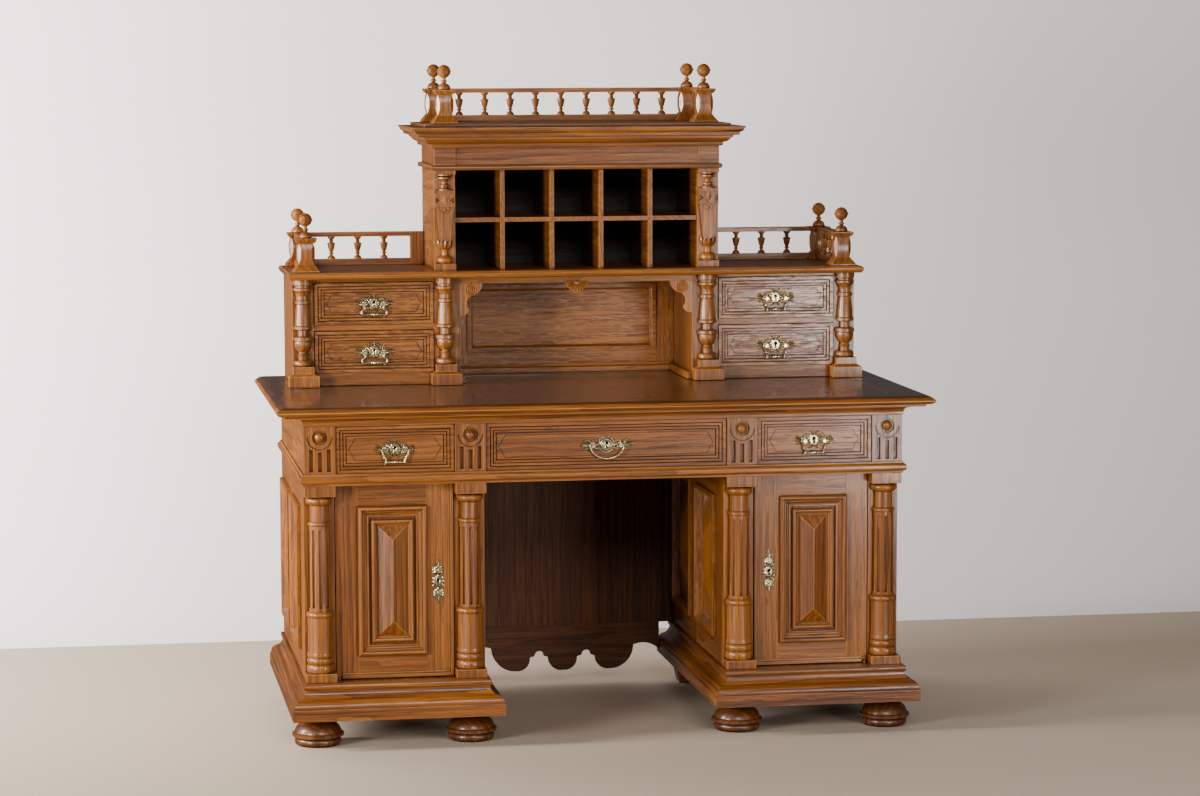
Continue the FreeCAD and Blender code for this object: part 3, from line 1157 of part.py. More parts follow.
class Drawer:
    """One drawer in an opening: its front, box, brass plate with lock, and bail."""

    def __init__(self, x0, x1, z0, z1, face, depth):
        self.x0, self.x1 = x0 + DRAWER_GAP, x1 - DRAWER_GAP
        self.z0, self.z1 = z0 + DRAWER_RUN_GAP, z1 - DRAWER_GAP
        self.face = face
        self.rear = face + FRONT_THICK
        self.depth = depth
        self.wire_r, self.spread, self.drop = BAIL_WIRE_R, POST_SPREAD, BAIL_DROP
        self.x = (x0 + x1) / 2
        self.z = (z0 + z1) / 2
        self.field = face + FRONT_FIELD_SINK
        self.key_z = self.z + KEYHOLE_RISE
        self.pivot_y = self.field - POST_OUT + POST_R
        self.pivot_z = self.z + PIVOT_RISE

    def front(self):
        """The front board: a stepped frame round a sunk field with a cut line, and the keyhole."""
        rim = facing_rect(self.x0, self.x1, self.z0, self.z1, self.face)
        body = block(self.x0, self.x1, self.face, self.rear, self.z0, self.z1)
        edge = rim
        for i in range(FRONT_STEPS):
            edge = shrunk(rim, FRONT_FRAME + i * FRONT_STEP)
            sink = FRONT_FIELD_SINK * (i + 1) / FRONT_STEPS
            body = body.cut(frustum(shifted(edge, -1), shifted(shrunk(edge, STEP_SLOPE), sink)))
            body = body.cut(self.quirk(shrunk(edge, STEP_SLOPE), sink))
        hole = keyhole(self.x, self.field - 1, self.key_z, FRONT_THICK)
        return body.cut(self.cut_line(edge)).cut(hole)

    def quirk(self, rect, sink):
        """The narrow groove at the foot of one step of the frame."""
        along = (0, 1 + sink + FRONT_QUIRK_DEPTH, 0)
        start = shifted(rect, -1)
        return prism(start, along).cut(prism(shrunk(start, FRONT_QUIRK), along))

    def cut_line(self, rect):
        """A shallow groove inside the field, its two ends drawn to a point between clipped corners."""
        rings = []
        for margin in (LINE_MARGIN, LINE_MARGIN + LINE_GROOVE):
            ring = shrunk(rect, margin)
            (xa, _, za), (xb, _, zb) = ring[0], ring[2]
            clip = (zb - za) * LINE_CLIP_SHARE
            tip = clip * LINE_TIP_SHARE
            zm = (za + zb) / 2
            y = self.field - 1
            corners = [(xa + clip, za), (xb - clip, za), (xb - tip, za + clip), (xb, zm),
                       (xb - tip, zb - clip), (xb - clip, zb), (xa + clip, zb), (xa + tip, zb - clip),
                       (xa, zm), (xa + tip, za + clip)]
            rings.append(prism([(cx, y, cz) for cx, cz in corners], (0, 1 + LINE_DEPTH, 0)))
        return rings[0].cut(rings[1])

    def box(self):
        """Two sides, the back and the bottom."""
        y0, y1 = self.rear, self.face + self.depth
        z1 = self.z1 - BOX_SIDE_DROP
        in0, in1 = self.x0 + BOX_SIDE, self.x1 - BOX_SIDE
        low = self.z0
        bottom = low + BOX_BOTTOM
        return [block(self.x0, in0, y0, y1, low, z1), block(in1, self.x1, y0, y1, low, z1),
                block(in0, in1, y1 - BOX_SIDE, y1, bottom, z1), block(in0, in1, y0, y1, low, bottom)]

    def fittings(self):
        """Brass plate with two bored posts and the keyhole, and the lock behind the front."""
        face = self.field - PLATE_THICK
        plate = rounded_lozenge(self.x, face, self.key_z, PLATE_WIDTH, PLATE_HEIGHT, PLATE_THICK)
        tip = self.pivot_y - POST_R
        bore_r = self.wire_r + BAIL_PIVOT_CLEARANCE
        for side in (-1, 1):
            px = self.x + side * self.spread / 2
            reach = face + PLATE_THICK / 2 - tip
            post = Part.makeCylinder(POST_R, reach, V(px, tip, self.pivot_z), V(0, 1, 0))
            bore_from = V(px - 2 * POST_R, self.pivot_y, self.pivot_z)
            bore = Part.makeCylinder(bore_r, 4 * POST_R, bore_from, V(1, 0, 0))
            plate = plate.fuse(post.cut(bore))
        plate = plate.cut(keyhole(self.x, face - 1, self.key_z, PLATE_THICK + 2))
        lock = block(self.x - LOCK_WIDTH / 2, self.x + LOCK_WIDTH / 2, self.rear, self.rear + LOCK_DEPTH,
                     self.key_z - LOCK_HEIGHT / 2, self.key_z + LOCK_HEIGHT / 2)
        return [plate.removeSplitter(), lock]

    def bail(self):
        """The bent wire handle hanging from the two posts, with a knob at each turn."""
        inner = self.spread / 2 - POST_R
        outer = self.spread / 2 + POST_R + BAIL_KNOB_R + BAIL_SIDE_GAP
        radius = (outer ** 2 + self.drop ** 2) / (2 * self.drop)
        centre, axis = V(0, 0, radius - self.drop), V(0, 1, 0)
        half_turn = math.degrees(math.asin(outer / radius))
        ring = Part.Face(Part.Wire(Part.makeCircle(self.wire_r, V(0, 0, -self.drop), V(1, 0, 0))))
        ring.rotate(centre, axis, -half_turn)
        bow = ring.revolve(centre, axis, 2 * half_turn)
        for side in (-1, 1):
            end = V(side * outer, 0, 0)
            bow = bow.fuse(Part.makeSphere(BAIL_KNOB_R, end))
            bow = bow.fuse(Part.makeCylinder(self.wire_r, outer - inner, end, V(-side, 0, 0)))
        return bow.removeSplitter().translated(V(self.x, self.pivot_y, self.pivot_z))


class WideDrawer(Drawer):
    """The middle drawer, with a wider, thinner bail."""

    def __init__(self, *opening):
        super().__init__(*opening)
        self.wire_r, self.spread, self.drop = CENTRE_BAIL_WIRE_R, CENTRE_POST_SPREAD, CENTRE_BAIL_DROP


def drawers():
    """All seven drawers by name."""
    face = FRONT + FRONT_PROUD
    z0, z1 = Z_FRIEZE, Z_BED
    inner, outer = HALF_KNEE + BLOCK_WIDTH, HALF_CASE - BLOCK_WIDTH
    deep = FRIEZE_DRAWER_DEPTH
    found = {"left_drawer": Drawer(-outer, -inner, z0, z1, face, deep),
             "centre_drawer": WideDrawer(-HALF_KNEE, HALF_KNEE, z0, z1, face, deep),
             "right_drawer": Drawer(inner, outer, z0, z1, face, deep)}
    face = STAGE_FACE - STAGE_DRAWER_PROUD
    low = STAGE_OPEN_Z0
    high = low + STAGE_DRAWER_HIGH + STAGE_RAIL
    deep = UPPER_DRAWER_DEPTH
    for side, x0, x1 in (("left", -STAGE_OPEN_X1, -STAGE_OPEN_X0), ("right", STAGE_OPEN_X0, STAGE_OPEN_X1)):
        for tier, z in (("upper", high), ("lower", low)):
            found[side + "_" + tier + "_drawer"] = Drawer(x0, x1, z, z + STAGE_DRAWER_HIGH, face, deep)
    return found


def leaf(z0, z1, with_hole):
    """One hinge leaf: a bar back into the wood with a round eye at the pin."""
    x, y = PIN_X, PIN_Y
    set_in = y + PIN_FRONT + LEAF_SET_IN
    bar = block(x + KNUCKLE_R - HINGE_LENGTH, x + KNUCKLE_R, set_in, set_in + HINGE_WIDTH, z0, z1)
    neck = block(x - KNUCKLE_R, x + KNUCKLE_R, y, set_in, z0, z1)
    eye = Part.makeCylinder(KNUCKLE_R, z1 - z0, V(x, y, z0))
    shape = bar.fuse([neck, eye]).removeSplitter()
    if with_hole:
        shape = shape.cut(Part.makeCylinder(PIN_R + PIN_CLEARANCE, z1 - z0, V(x, y, z0)))
    return shape


def door_leaves():
    """The two leaves let into a door's top and bottom edges."""
    return [leaf(DOOR_Z0, DOOR_Z0 + HINGE_PLATE, True), leaf(DOOR_Z1 - HINGE_PLATE, DOOR_Z1, True)]


def fixed_leaves():
    """The leaves on the plinth's deck and under the string board, with their pins."""
    thin = DOOR_GAP - LEAF_GAP
    low = leaf(Z_PEDESTAL, Z_PEDESTAL + thin, False)
    high = leaf(Z_STRING - thin, Z_STRING, False)
    reach = DOOR_GAP + HINGE_PLATE
    low = low.fuse(Part.makeCylinder(PIN_R, reach, V(PIN_X, PIN_Y, Z_PEDESTAL)))
    high = high.fuse(Part.makeCylinder(PIN_R, reach, V(PIN_X, PIN_Y, Z_STRING - reach)))
    return pair([low.removeSplitter(), high.removeSplitter()])


def door_frame():
    """Stiles, rails and closing strips of the right door, cut for the leaves and the keyhole."""
    y0, y1 = PILASTER_FACE, DOOR_BACK
    in0, in1 = DOOR_X0 + DOOR_LOCK_STILE, DOOR_X1 - DOOR_HINGE_STILE
    low, high = DOOR_Z0 + DOOR_RAIL, DOOR_Z1 - DOOR_RAIL
    cutter = Part.makeCompound(door_leaves() + [keyhole(LOCK_X, y0 - 1, LOCK_Z, DOOR_THICK + 2)])
    pieces = [block(DOOR_X0, in0, y0, y1, DOOR_Z0, DOOR_Z1), block(in1, DOOR_X1, y0, y1, DOOR_Z0, DOOR_Z1),
              block(in0, in1, y0, y1, DOOR_Z0, low), block(in0, in1, y0, y1, high, DOOR_Z1)]
    return [piece.cut(cutter) for piece in pieces] + door_beads()


def door_beads():
    """The stepped closing strips along the lock edge and the bottom edge of the right door."""
    hinge_end = PIN_X - 2 * KNUCKLE_R
    strips = []
    start = 0.0
    for wide, out in ((DOOR_BEAD_WIDTH, DOOR_BEAD_OUT), (DOOR_FILLET_WIDTH, DOOR_FILLET_OUT)):
        end = start + wide
        y0, y1 = PILASTER_FACE - out, PILASTER_FACE
        strips.append(block(DOOR_X0 + start, DOOR_X0 + end, y0, y1, DOOR_Z0 + start, DOOR_Z1))
        strips.append(block(DOOR_X0 + end, hinge_end, y0, y1, DOOR_Z0 + start, DOOR_Z0 + end))
        start = end
    return strips


def mitred_frame(rect, profile):
    """Four mitred runs inside an upright rectangle; a profile's points are (inward, out) or arcs of them."""
    (x0, y, z0), (x1, _, z1) = rect[0], rect[2]
    reach = max(step[-2] for step in profile)
    deep = max(step[-1] for step in profile)

    def section(place):
        return [tuple(c for i in range(0, len(step), 2) for c in place(step[i], y - step[i + 1]))
                for step in profile]

    def mitre(corners):
        return prism([(cx, y - 2 * deep, cz) for cx, cz in corners], (0, 3 * deep, 0))

    low_run = prism(section(lambda inward, out: (x0, out, z0 + inward)), (x1 - x0, 0, 0))
    left_run = prism(section(lambda inward, out: (x0 + inward, out, z0)), (0, 0, z1 - z0))
    low = low_run.common(mitre([(x0, z0), (x1, z0), (x1 - reach, z0 + reach), (x0 + reach, z0 + reach)]))
    left = left_run.common(mitre([(x0, z0), (x0 + reach, z0 + reach), (x0 + reach, z1 - reach), (x0, z1)]))
    high = low.mirror(V(0, 0, (z0 + z1) / 2), V(0, 0, 1))
    right = left.mirror(V((x0 + x1) / 2, 0, 0), V(1, 0, 0))
    return [low, left, high, right]


def door_panel():
    """Panel board, outer moulding standing over the frame, inner moulding and hipped field."""
    seat = PILASTER_FACE + DOOR_PANEL_SINK
    x0, x1 = DOOR_X0 + DOOR_LOCK_STILE, DOOR_X1 - DOOR_HINGE_STILE
    z0, z1 = DOOR_Z0 + DOOR_RAIL, DOOR_Z1 - DOOR_RAIL
    board = block(x0, x1, seat, seat + DOOR_PANEL_THICK, z0, z1)
    opening = facing_rect(x0, x1, z0, z1, seat)
    wide, rise = DOOR_MOULD_WIDTH, DOOR_MOULD_RISE
    outer = [(0, 0), (0, 0.55 * rise), (1.5, 0.88 * rise, 0.2 * wide, rise),
             (0.37 * wide, 0.93 * rise, 0.44 * wide, 0.68 * rise), (0.44 * wide, 0.5 * rise),
             (0.56 * wide, 0.5 * rise), (0.66 * wide, 0.3 * rise, 0.86 * wide, 0.25 * rise),
             (0.86 * wide, 0.38 * rise), (wide, 0.38 * rise), (wide, 0)]
    ring = shrunk(opening, wide + DOOR_QUIRK)
    slim, lift = DOOR_INNER_MOULD, DOOR_INNER_RISE
    inner = [(0, 0), (0, 0.5 * lift), (0.1 * slim, 0.87 * lift, 0.35 * slim, lift),
             (0.62 * slim, 0.9 * lift, 0.75 * slim, 0.55 * lift), (0.75 * slim, 0.36 * lift),
             (slim, 0.28 * lift), (slim, 0)]
    field = shrunk(ring, slim + DOOR_FIELD_QUIRK)
    half = (field[1][0] - field[0][0]) / 2
    ridge_x = (x0 + x1) / 2
    ridge_y = seat - DOOR_HIP_RISE
    hip = hipped(field, (ridge_x, ridge_y, field[0][2] + half), (ridge_x, ridge_y, field[2][2] - half))
    return [board, hip] + mitred_frame(opening, outer) + mitred_frame(ring, inner)


def door_fittings():
    """Hinge leaves, long escutcheon and lock of the right door."""
    a, b = ESCUTCHEON_WIDTH / 2, ESCUTCHEON_HEIGHT / 2
    y = PILASTER_FACE - PLATE_THICK
    x, z = LOCK_X, LOCK_Z
    waist, swell = 0.55 * a, 0.6 * a
    shoulder, tip, near = 0.4 * b, 0.72 * b, 0.2 * b
    shield = prism([(x, y, z + b), (x + swell, y, z + tip, x + waist, y, z + shoulder),
                    (x + a, y, z + near, x + a, y, z), (x + a, y, z - near, x + waist, y, z - shoulder),
                    (x + swell, y, z - tip, x, y, z - b), (x - swell, y, z - tip, x - waist, y, z - shoulder),
                    (x - a, y, z - near, x - a, y, z), (x - a, y, z + near, x - waist, y, z + shoulder),
                    (x - swell, y, z + tip, x, y, z + b)], (0, PLATE_THICK, 0))
    shield = shield.cut(keyhole(x, y - 1, z, PLATE_THICK + 2))
    edge = DOOR_X0 + LOCK_EDGE
    lock = block(edge, edge + LOCK_HEIGHT, DOOR_BACK, DOOR_BACK + LOCK_DEPTH,
                 z - LOCK_WIDTH / 2, z + LOCK_WIDTH / 2)
    return door_leaves() + [shield, lock]


def main():
    """Build every sub-part and write it."""
    os.makedirs("parts", exist_ok=True)
    frames, panels = pedestal_boards()
    sets = {"worktop_frame": worktop_members(), "worktop_field": worktop_field(),
            "bed_moulding": bed_mouldings(), "string_board": string_boards(), "frieze_case": frieze_case(),
            "drawer_runners": drawer_runners(), "frieze_blocks": frieze_blocks(), "pedestal_frames": frames,
            "pedestal_side_panels": panels, "pedestal_insides": pedestal_insides(),
            "pedestal_columns": pedestal_columns(), "plinths": plinths(),
            "bun_feet": bun_feet() + front_foot_blocks(), "rear_feet": rear_feet(),
            "kneehole_back": kneehole_back(), "stage_cases": stage_cases(), "stage_columns": stage_columns(),
            "niche_back": niche_back(), "niche_apron": niche_apron(), "shelf_board": shelf_board(),
            "pigeonholes": pigeonholes(), "herm_pilasters": herms(), "cornice": cornice(),
            "gallery_posts": gallery_posts(), "gallery_railings": gallery_railings(),
            "door_hinge_pins": fixed_leaves()}
    for name, drawer in drawers().items():
        sets[name + "_front"] = [drawer.front()]
        sets[name + "_box"] = drawer.box()
        sets[name + "_plate"] = drawer.fittings()
        sets[name + "_bail"] = [drawer.bail()]
    for part_name, make in (("frame", door_frame), ("panel", door_panel), ("fittings", door_fittings)):
        pieces = make()
        sets["right_door_" + part_name] = pieces
        sets["left_door_" + part_name] = [mirrored(piece) for piece in pieces]
    for name, shapes in sets.items():
        write(name, shapes)


main()
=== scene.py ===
"""Looks for the oak pedestal desk: softened timber, carved trim, aged brass, camera and studio."""
import json
import math
import random

import bmesh
import bpy
from mathutils import Matrix, Vector


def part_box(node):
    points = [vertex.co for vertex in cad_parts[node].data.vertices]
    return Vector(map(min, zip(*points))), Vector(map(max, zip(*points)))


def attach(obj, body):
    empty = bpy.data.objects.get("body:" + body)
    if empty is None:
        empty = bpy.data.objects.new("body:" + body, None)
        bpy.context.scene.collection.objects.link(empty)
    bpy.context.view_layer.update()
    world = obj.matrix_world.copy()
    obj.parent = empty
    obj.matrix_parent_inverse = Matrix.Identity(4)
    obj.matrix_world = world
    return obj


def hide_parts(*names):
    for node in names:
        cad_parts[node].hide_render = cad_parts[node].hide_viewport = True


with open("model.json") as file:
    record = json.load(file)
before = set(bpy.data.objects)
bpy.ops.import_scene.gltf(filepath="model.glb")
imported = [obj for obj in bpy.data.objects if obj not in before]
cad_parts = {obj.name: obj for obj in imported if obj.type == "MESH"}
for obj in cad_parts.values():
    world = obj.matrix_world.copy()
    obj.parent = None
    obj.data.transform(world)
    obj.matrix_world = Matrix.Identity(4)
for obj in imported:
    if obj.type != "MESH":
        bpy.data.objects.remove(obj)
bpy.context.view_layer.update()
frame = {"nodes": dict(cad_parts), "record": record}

# Timber: how the CAD meshes are joined, rounded over and shaded
POSITIONS_PER_METRE = 1e5
MERGE = 2e-6
FLAT_ANGLE = math.radians(0.4)
ARRIS_ANGLE = math.radians(32)
SHARP_ANGLE = math.radians(38)
FACET_ANGLE = math.radians(4)
FACET_FACES = 40
CRISP_FACES = 260
PLAIN_FACES = 90
UPWARD = 0.8
SHOWN_DEPTH = 0.0012
INWARD = Vector((0, 1, 0))
DOOR_ARRIS = 0.0010
FRONT_ARRIS = 0.0009
HIDDEN_ARRIS = 0.0008
BACK_BOARD_THICK = 0.02
BACK_BOARD_HIGH = 0.2
BACK_BOARD_FROM = 0.3

# Grain: the stretch of each pattern along and across a board, its share of the colour, the pith's distance
RINGS = {"Scale": 22.0, "Distortion": 9.0, "Detail": 3.0, "Detail Scale": 0.8}
RING_STRETCH = (0.16, 1.0, 1.0)
STREAK_STRETCH = (5.0, 330.0, 330.0)
BROAD_STRETCH = (1.7, 24.0, 24.0)
PORE_STRETCH = (24.0, 620.0, 620.0)
FLECK_STRETCH = (15.0, 125.0, 125.0)
RING_SHARE = 0.18
STREAK_SHARE = 0.82
TONE_SHARE = 0.055
BROAD_SHARE = 0.075
RAMP_PLACES = (0.25, 0.49, 0.76)
# Reach of the painted shade into corners and along creases of the wood, and of the patina into the brass's
# hollows
CORNER_REACH = 0.012
LINE_REACH = 0.0030
HOLLOW_REACH = 0.0035
UNDERCOAT_SPECULAR = 0.3
GRAIN_SHIFT = 9
PITH_NEAR = 0.03
PITH_FAR = 0.16
# Tone shift for whole nodes: painted shade on the cornice, plinths and left drawer fronts; the feet darker
# and the niche carving paler in their own colour
TONE_AND_SHADE_SHIFT = {"bun_feet": -3.2, "cornice": -1.6, "plinths": -1.2, "left_upper_drawer_front": -1.6,
              "left_lower_drawer_front": -1.6, "niche_apron": 1.6, "bracket_volutes": 3.4,
              "pendant_shell": 3.0}

# Brass: plates and bails from the bail's turning line, escutcheons from the door's lock edge and foot
KNOB_RADIUS = 0.0032
PIVOT_TO_FIELD = 0.009
PIVOT_TO_KEY = 0.002
BAIL_DROP = 0.026
MIDDLE_BAIL_DROP = 0.030
PIN_LENGTH = 0.0118
PLATE_SEAT = 0.0017
KEYHOLE_RADIUS = 0.0030
KEYHOLE_LENGTH = 0.0105
KEYHOLE_DARK_THICK = 0.0008
KEYHOLE_LIP = 0.0007
KEYHOLE_ABOVE_CENTRE = 0.003
SHIELD_THICK = 0.003
ESCUTCHEON_INSET = 0.035
ESCUTCHEON_RISE = 0.218
MIDDLE_BEADS = 28
MIDDLE_BEAD_RING = 0.0178
MIDDLE_BOSS_STEP = 0.0012
LYRE_DRAWERS = ("left_upper_drawer", "left_lower_drawer")

# Cast leaves in millimetres from the keyhole: points along the middle, half widths there, and rise
WING_LEAVES = (
    (((9, 6), (14, 11), (20, 12.5), (25.5, 9), (27.5, 5)), (1.6, 3.2, 3.4, 2.6, 1.4), 2.6),
    (((9, -7), (14, -11.5), (19.5, -12), (24, -9), (26, -7)), (1.5, 2.8, 3.0, 2.4, 1.2), 2.4),
    (((11, 0), (14.5, 1.5), (18, 1.0), (19, -1)), (2.4, 3.2, 2.6, 1.4), 2.2),
    (((30, -1), (37, 0.5), (43, 0), (47, -1), (50, -2)), (3.4, 5.4, 4.6, 2.4, 0.4), 3.0),
    (((31, 3), (36, 7.5), (41, 8.5), (45, 6.5)), (1.6, 2.4, 2.2, 0.5), 2.2),
    (((31, -6), (36, -9.5), (41, -9.5), (44, -7.5)), (1.5, 2.3, 2.1, 0.5), 2.2),
    (((2.5, 12), (6, 16.5), (10, 19), (13, 18.5)), (1.6, 2.6, 2.2, 0.5), 2.4),
    (((2.5, -13), (5.5, -16.5), (9, -18), (11.5, -17)), (1.4, 2.2, 1.9, 0.5), 2.2))
MIDDLE_SIDE_LEAVES = (
    (((16, 6), (22, 9), (28, 9), (33, 6)), (2.2, 3.4, 3.0, 1.0), 2.6),
    (((38, 5), (44, 10), (50, 9.5), (56, 5)), (2.0, 2.8, 2.4, 0.6), 2.2))
MIDDLE_AXIS_LEAVES = (
    (((18, 0), (25, 0), (31, 0)), (2.8, 4.2, 3.0), 2.6),
    (((38, -1), (46, 0), (54, 0), (60, 0), (63, 0)), (4.0, 7.4, 6.4, 3.2, 0.4), 3.0))
DOOR_LEAVES = (
    (((1.5, 34), (5, 38.5), (8.5, 39.5)), (2.0, 2.6, 0.5), 2.2),
    (((3, 12.5), (7, 15.5), (10.5, 17)), (2.2, 2.8, 1.2), 2.0))

# Cast bails in millimetres from the turning line, one side: the arm's points and radii, knots, tips and bar
LYRE = {"arm": ((30.8, 0), (26.0, -2.6), (22.4, -6), (22.0, -9.5), (24.8, -12.6), (28.4, -15.5),
                (30.0, -19), (28.8, -23), (25.4, -25.6)),
        "thick": (2.3, 2.4, 2.2, 2.1, 2.3, 2.6, 2.7, 2.7, 2.8),
        "knots": (((24.2, -4.2), 2.8), ((29.8, -17.6), 3.0)),
        "tips": (((25.0, -12.6), (22.4, -13.8), (20.8, -13.0)),
                 ((25.4, -25.6), (24.0, -28.0), (21.6, -28.6))),
        "bar": (25.4, -25.6)}
SPREAD = {"arm": ((30.8, 0), (30.2, -4), (27.8, -10), (24.8, -16), (22.6, -20.5), (21.4, -25), (21.2, -28.4)),
          "thick": (2.1, 1.9, 2.0, 2.5, 2.1, 2.2, 2.4),
          "knots": (((24.8, -16.2), 2.9), ((21.3, -27.6), 2.9)),
          "tips": (((24.8, -16), (27.0, -17.6), (28.2, -16.6)), ((21.2, -28.4), (24.0, -29.4), (26.6, -28.6)),
                   ((21.2, -28.4), (23.6, -30.6), (25.4, -31.6))),
          "bar": (21.2, -28.4)}
TIP_THICK = (2.0, 1.7, 1.1)

# Carving
VOLUTE_FROM_SIDE = 0.0266
VOLUTE_BELOW_STRIP = 0.015
VOLUTE_RADIUS = 0.0150
VOLUTE_TURN = math.radians(900)
VOLUTE_STEPS = 36
VOLUTE_THICK = 0.0025
BRACKET_DEEP = 0.012
STRIP_HIGH = 0.016
PENDANT_RIBS = 9
PENDANT_REACH = 0.0255
PENDANT_RIB_PLACES = (0.2, 0.45, 0.7, 0.9, 1.0)
PENDANT_RIB_HALVES = (0.0009, 0.0021, 0.0034, 0.0040, 0.0020)
PENDANT_RIB_RISE = 0.0024
PILASTER_HALF = 0.0255
PILASTER_AXIS_FROM_BACK = 0.005
COLLAR_LEAVES = 5
COLLAR_LEAF_STEP = 36
COLLAR_LEAF_THICK = 0.0016
# Each row of a collar leaf: height above the pilaster's foot, distance from its axis, half width
COLLAR_LEAF = ((0.052, 0.0115, 0.0020), (0.057, 0.0160, 0.0040), (0.063, 0.0180, 0.0042),
               (0.068, 0.0175, 0.0026), (0.071, 0.0190, 0.0006))

# Finishes, linear colours
OAK_LIGHT = (0.335, 0.113, 0.012, 1)
OAK_MID = (0.178, 0.053, 0.005, 1)
OAK_DARK = (0.052, 0.014, 0.002, 1)
# Lighter arrises: real wear and a painted highlight
WEAR_AND_HIGHLIGHT = (0.50, 0.200, 0.034, 1)
TOP_LIGHT = (0.150, 0.044, 0.004, 1)
TOP_MID = (0.075, 0.020, 0.002, 1)
TOP_DARK = (0.022, 0.005, 0.001, 1)
# Painted shade: the darker oak of the kneehole back
SHADE_LIGHT = (0.115, 0.034, 0.003, 1)
SHADE_MID = (0.055, 0.014, 0.001, 1)
SHADE_DARK = (0.017, 0.004, 0.001, 1)
# Painted shade in the wood's corners and creases
CREVICE_SHADE = (0.012, 0.004, 0.001, 1)
RAW_LIGHT = (0.52, 0.31, 0.14, 1)
RAW_MID = (0.40, 0.21, 0.085, 1)
RAW_DARK = (0.21, 0.10, 0.035, 1)
# Near black: the pigeonhole backs, and the keyhole's painted shadow
NEAR_BLACK_LIGHT = (0.034, 0.019, 0.008, 1)
NEAR_BLACK_DARK = (0.012, 0.006, 0.003, 1)
BRASS_LIGHT = (0.74, 0.62, 0.37, 1)
BRASS_DARK = (0.060, 0.032, 0.010, 1)
STEEL_LIGHT = (0.20, 0.16, 0.12, 1)
STEEL_DARK = (0.05, 0.035, 0.025, 1)
FLOOR_COLOUR = (0.47, 0.37, 0.27, 1)
WALL_COLOUR = (0.84, 0.785, 0.775, 1)

# Camera, from the vanishing points of the worktop and the upright edges
EYE = Vector((-1.27954, -7.92349, 1.59085))
YAW = math.radians(-9.43)
PITCH = math.radians(-5.975)
ROLL = math.radians(-0.164)
FOCAL_PIXELS = 3412.33
IMAGE_WIDE = 1200
SENSOR = 36.0

# Studio
STUDIO_WIDE = 14.0
PAPER_BACK = 1.95
PAPER_BEND = 0.85
PAPER_HIGH = 7.0
SURROUND_COLOUR = (0.80, 0.78, 0.80, 1)
SURROUND_STRENGTH = 0.11
# Name, place, aim, width and height, watts
LAMPS = (("soft_box_right", (1.75, -3.5, 0.62), (0.4, 0, 0.8), (1.0, 1.1), 68),
         ("soft_box_left", (-3.5, -2.7, 1.05), (-0.1, 0, 0.45), (1.0, 1.3), 205),
         ("soft_box_front", (0.2, -5.2, 2.8), (0, 0.1, 0.5), (1.6, 1.0), 96),
         ("wall_light", (-3.7, -0.3, 1.5), (-2.3, 1.95, 1.4), (1.2, 1.2), 480))


class Graph:
    """A material's node tree, with short calls for the nodes that the finishes share."""

    def __init__(self, name):
        self.material = bpy.data.materials.new(name)
        self.material.use_nodes = True
        self.tree = self.material.node_tree
        self.shader = self.tree.nodes["Principled BSDF"]

    def node(self, kind, **settings):
        made = self.tree.nodes.new(kind)
        for key, value in settings.items():
            setattr(made, key, value)
        return made

    def link(self, a, b):
        self.tree.links.new(a, b)

    def attribute(self, name):
        return self.node("ShaderNodeAttribute", attribute_name=name)

    def stretched(self, vector, scale):
        made = self.node("ShaderNodeMapping")
        made.inputs["Scale"].default_value = scale
        self.link(vector, made.inputs["Vector"])
        return made.outputs["Vector"]

    def noise(self, vector, detail=3.0, rough=0.55, bend=0.0):
        made = self.node("ShaderNodeTexNoise")
        made.inputs["Scale"].default_value = 1.0
        made.inputs["Detail"].default_value = detail
        made.inputs["Roughness"].default_value = rough
        made.inputs["Distortion"].default_value = bend
        self.link(vector, made.inputs["Vector"])
        return made.outputs["Fac"]

    def ramp(self, fac, stops):
        made = self.node("ShaderNodeValToRGB")
        elements = made.color_ramp.elements
        while len(elements) < len(stops):
            elements.new(0.5)
        for element, (place, colour) in zip(elements, stops):
            element.position = place
            element.color = colour
        self.link(fac, made.inputs["Fac"])
        return made.outputs["Color"]

    def range(self, value, low, high, to_low=0.0, to_high=1.0):
        made = self.node("ShaderNodeMapRange")
        for i, number in enumerate((low, high, to_low, to_high)):
            made.inputs[i + 1].default_value = number
        self.link(value, made.inputs["Value"])
        return made.outputs["Result"]

    def math(self, kind, a, b):
        made = self.node("ShaderNodeMath", operation=kind)
        for socket, value in zip(made.inputs, (a, b)):
            if isinstance(value, (int, float)):
                socket.default_value = value
            else:
                self.link(value, socket)
        return made.outputs["Value"]

    def mix(self, fac, a, b, kind="MIX"):
        made = self.node("ShaderNodeMix", data_type="RGBA", blend_type=kind)
        for name, value in (("Factor_Float", fac), ("A_Color", a), ("B_Color", b)):
            socket = next(s for s in made.inputs if s.identifier == name)
            if isinstance(value, (int, float, tuple)):
                socket.default_value = value
            else:
                self.link(value, socket)
        return next(s for s in made.outputs if s.identifier == "Result_Color")

    def crevice(self, reach, begins, full):
        made = self.node("ShaderNodeAmbientOcclusion", samples=4)
        made.inputs["Distance"].default_value = reach
        return self.range(made.outputs["AO"], begins, full)

    def bump(self, height, strength, distance):
        made = self.node("ShaderNodeBump")
        made.inputs["Strength"].default_value = strength
        made.inputs["Distance"].default_value = distance
        self.link(height, made.inputs["Height"])
        self.link(made.outputs["Normal"], self.shader.inputs["Normal"])
        self.link(made.outputs["Normal"], self.shader.inputs["Coat Normal"])


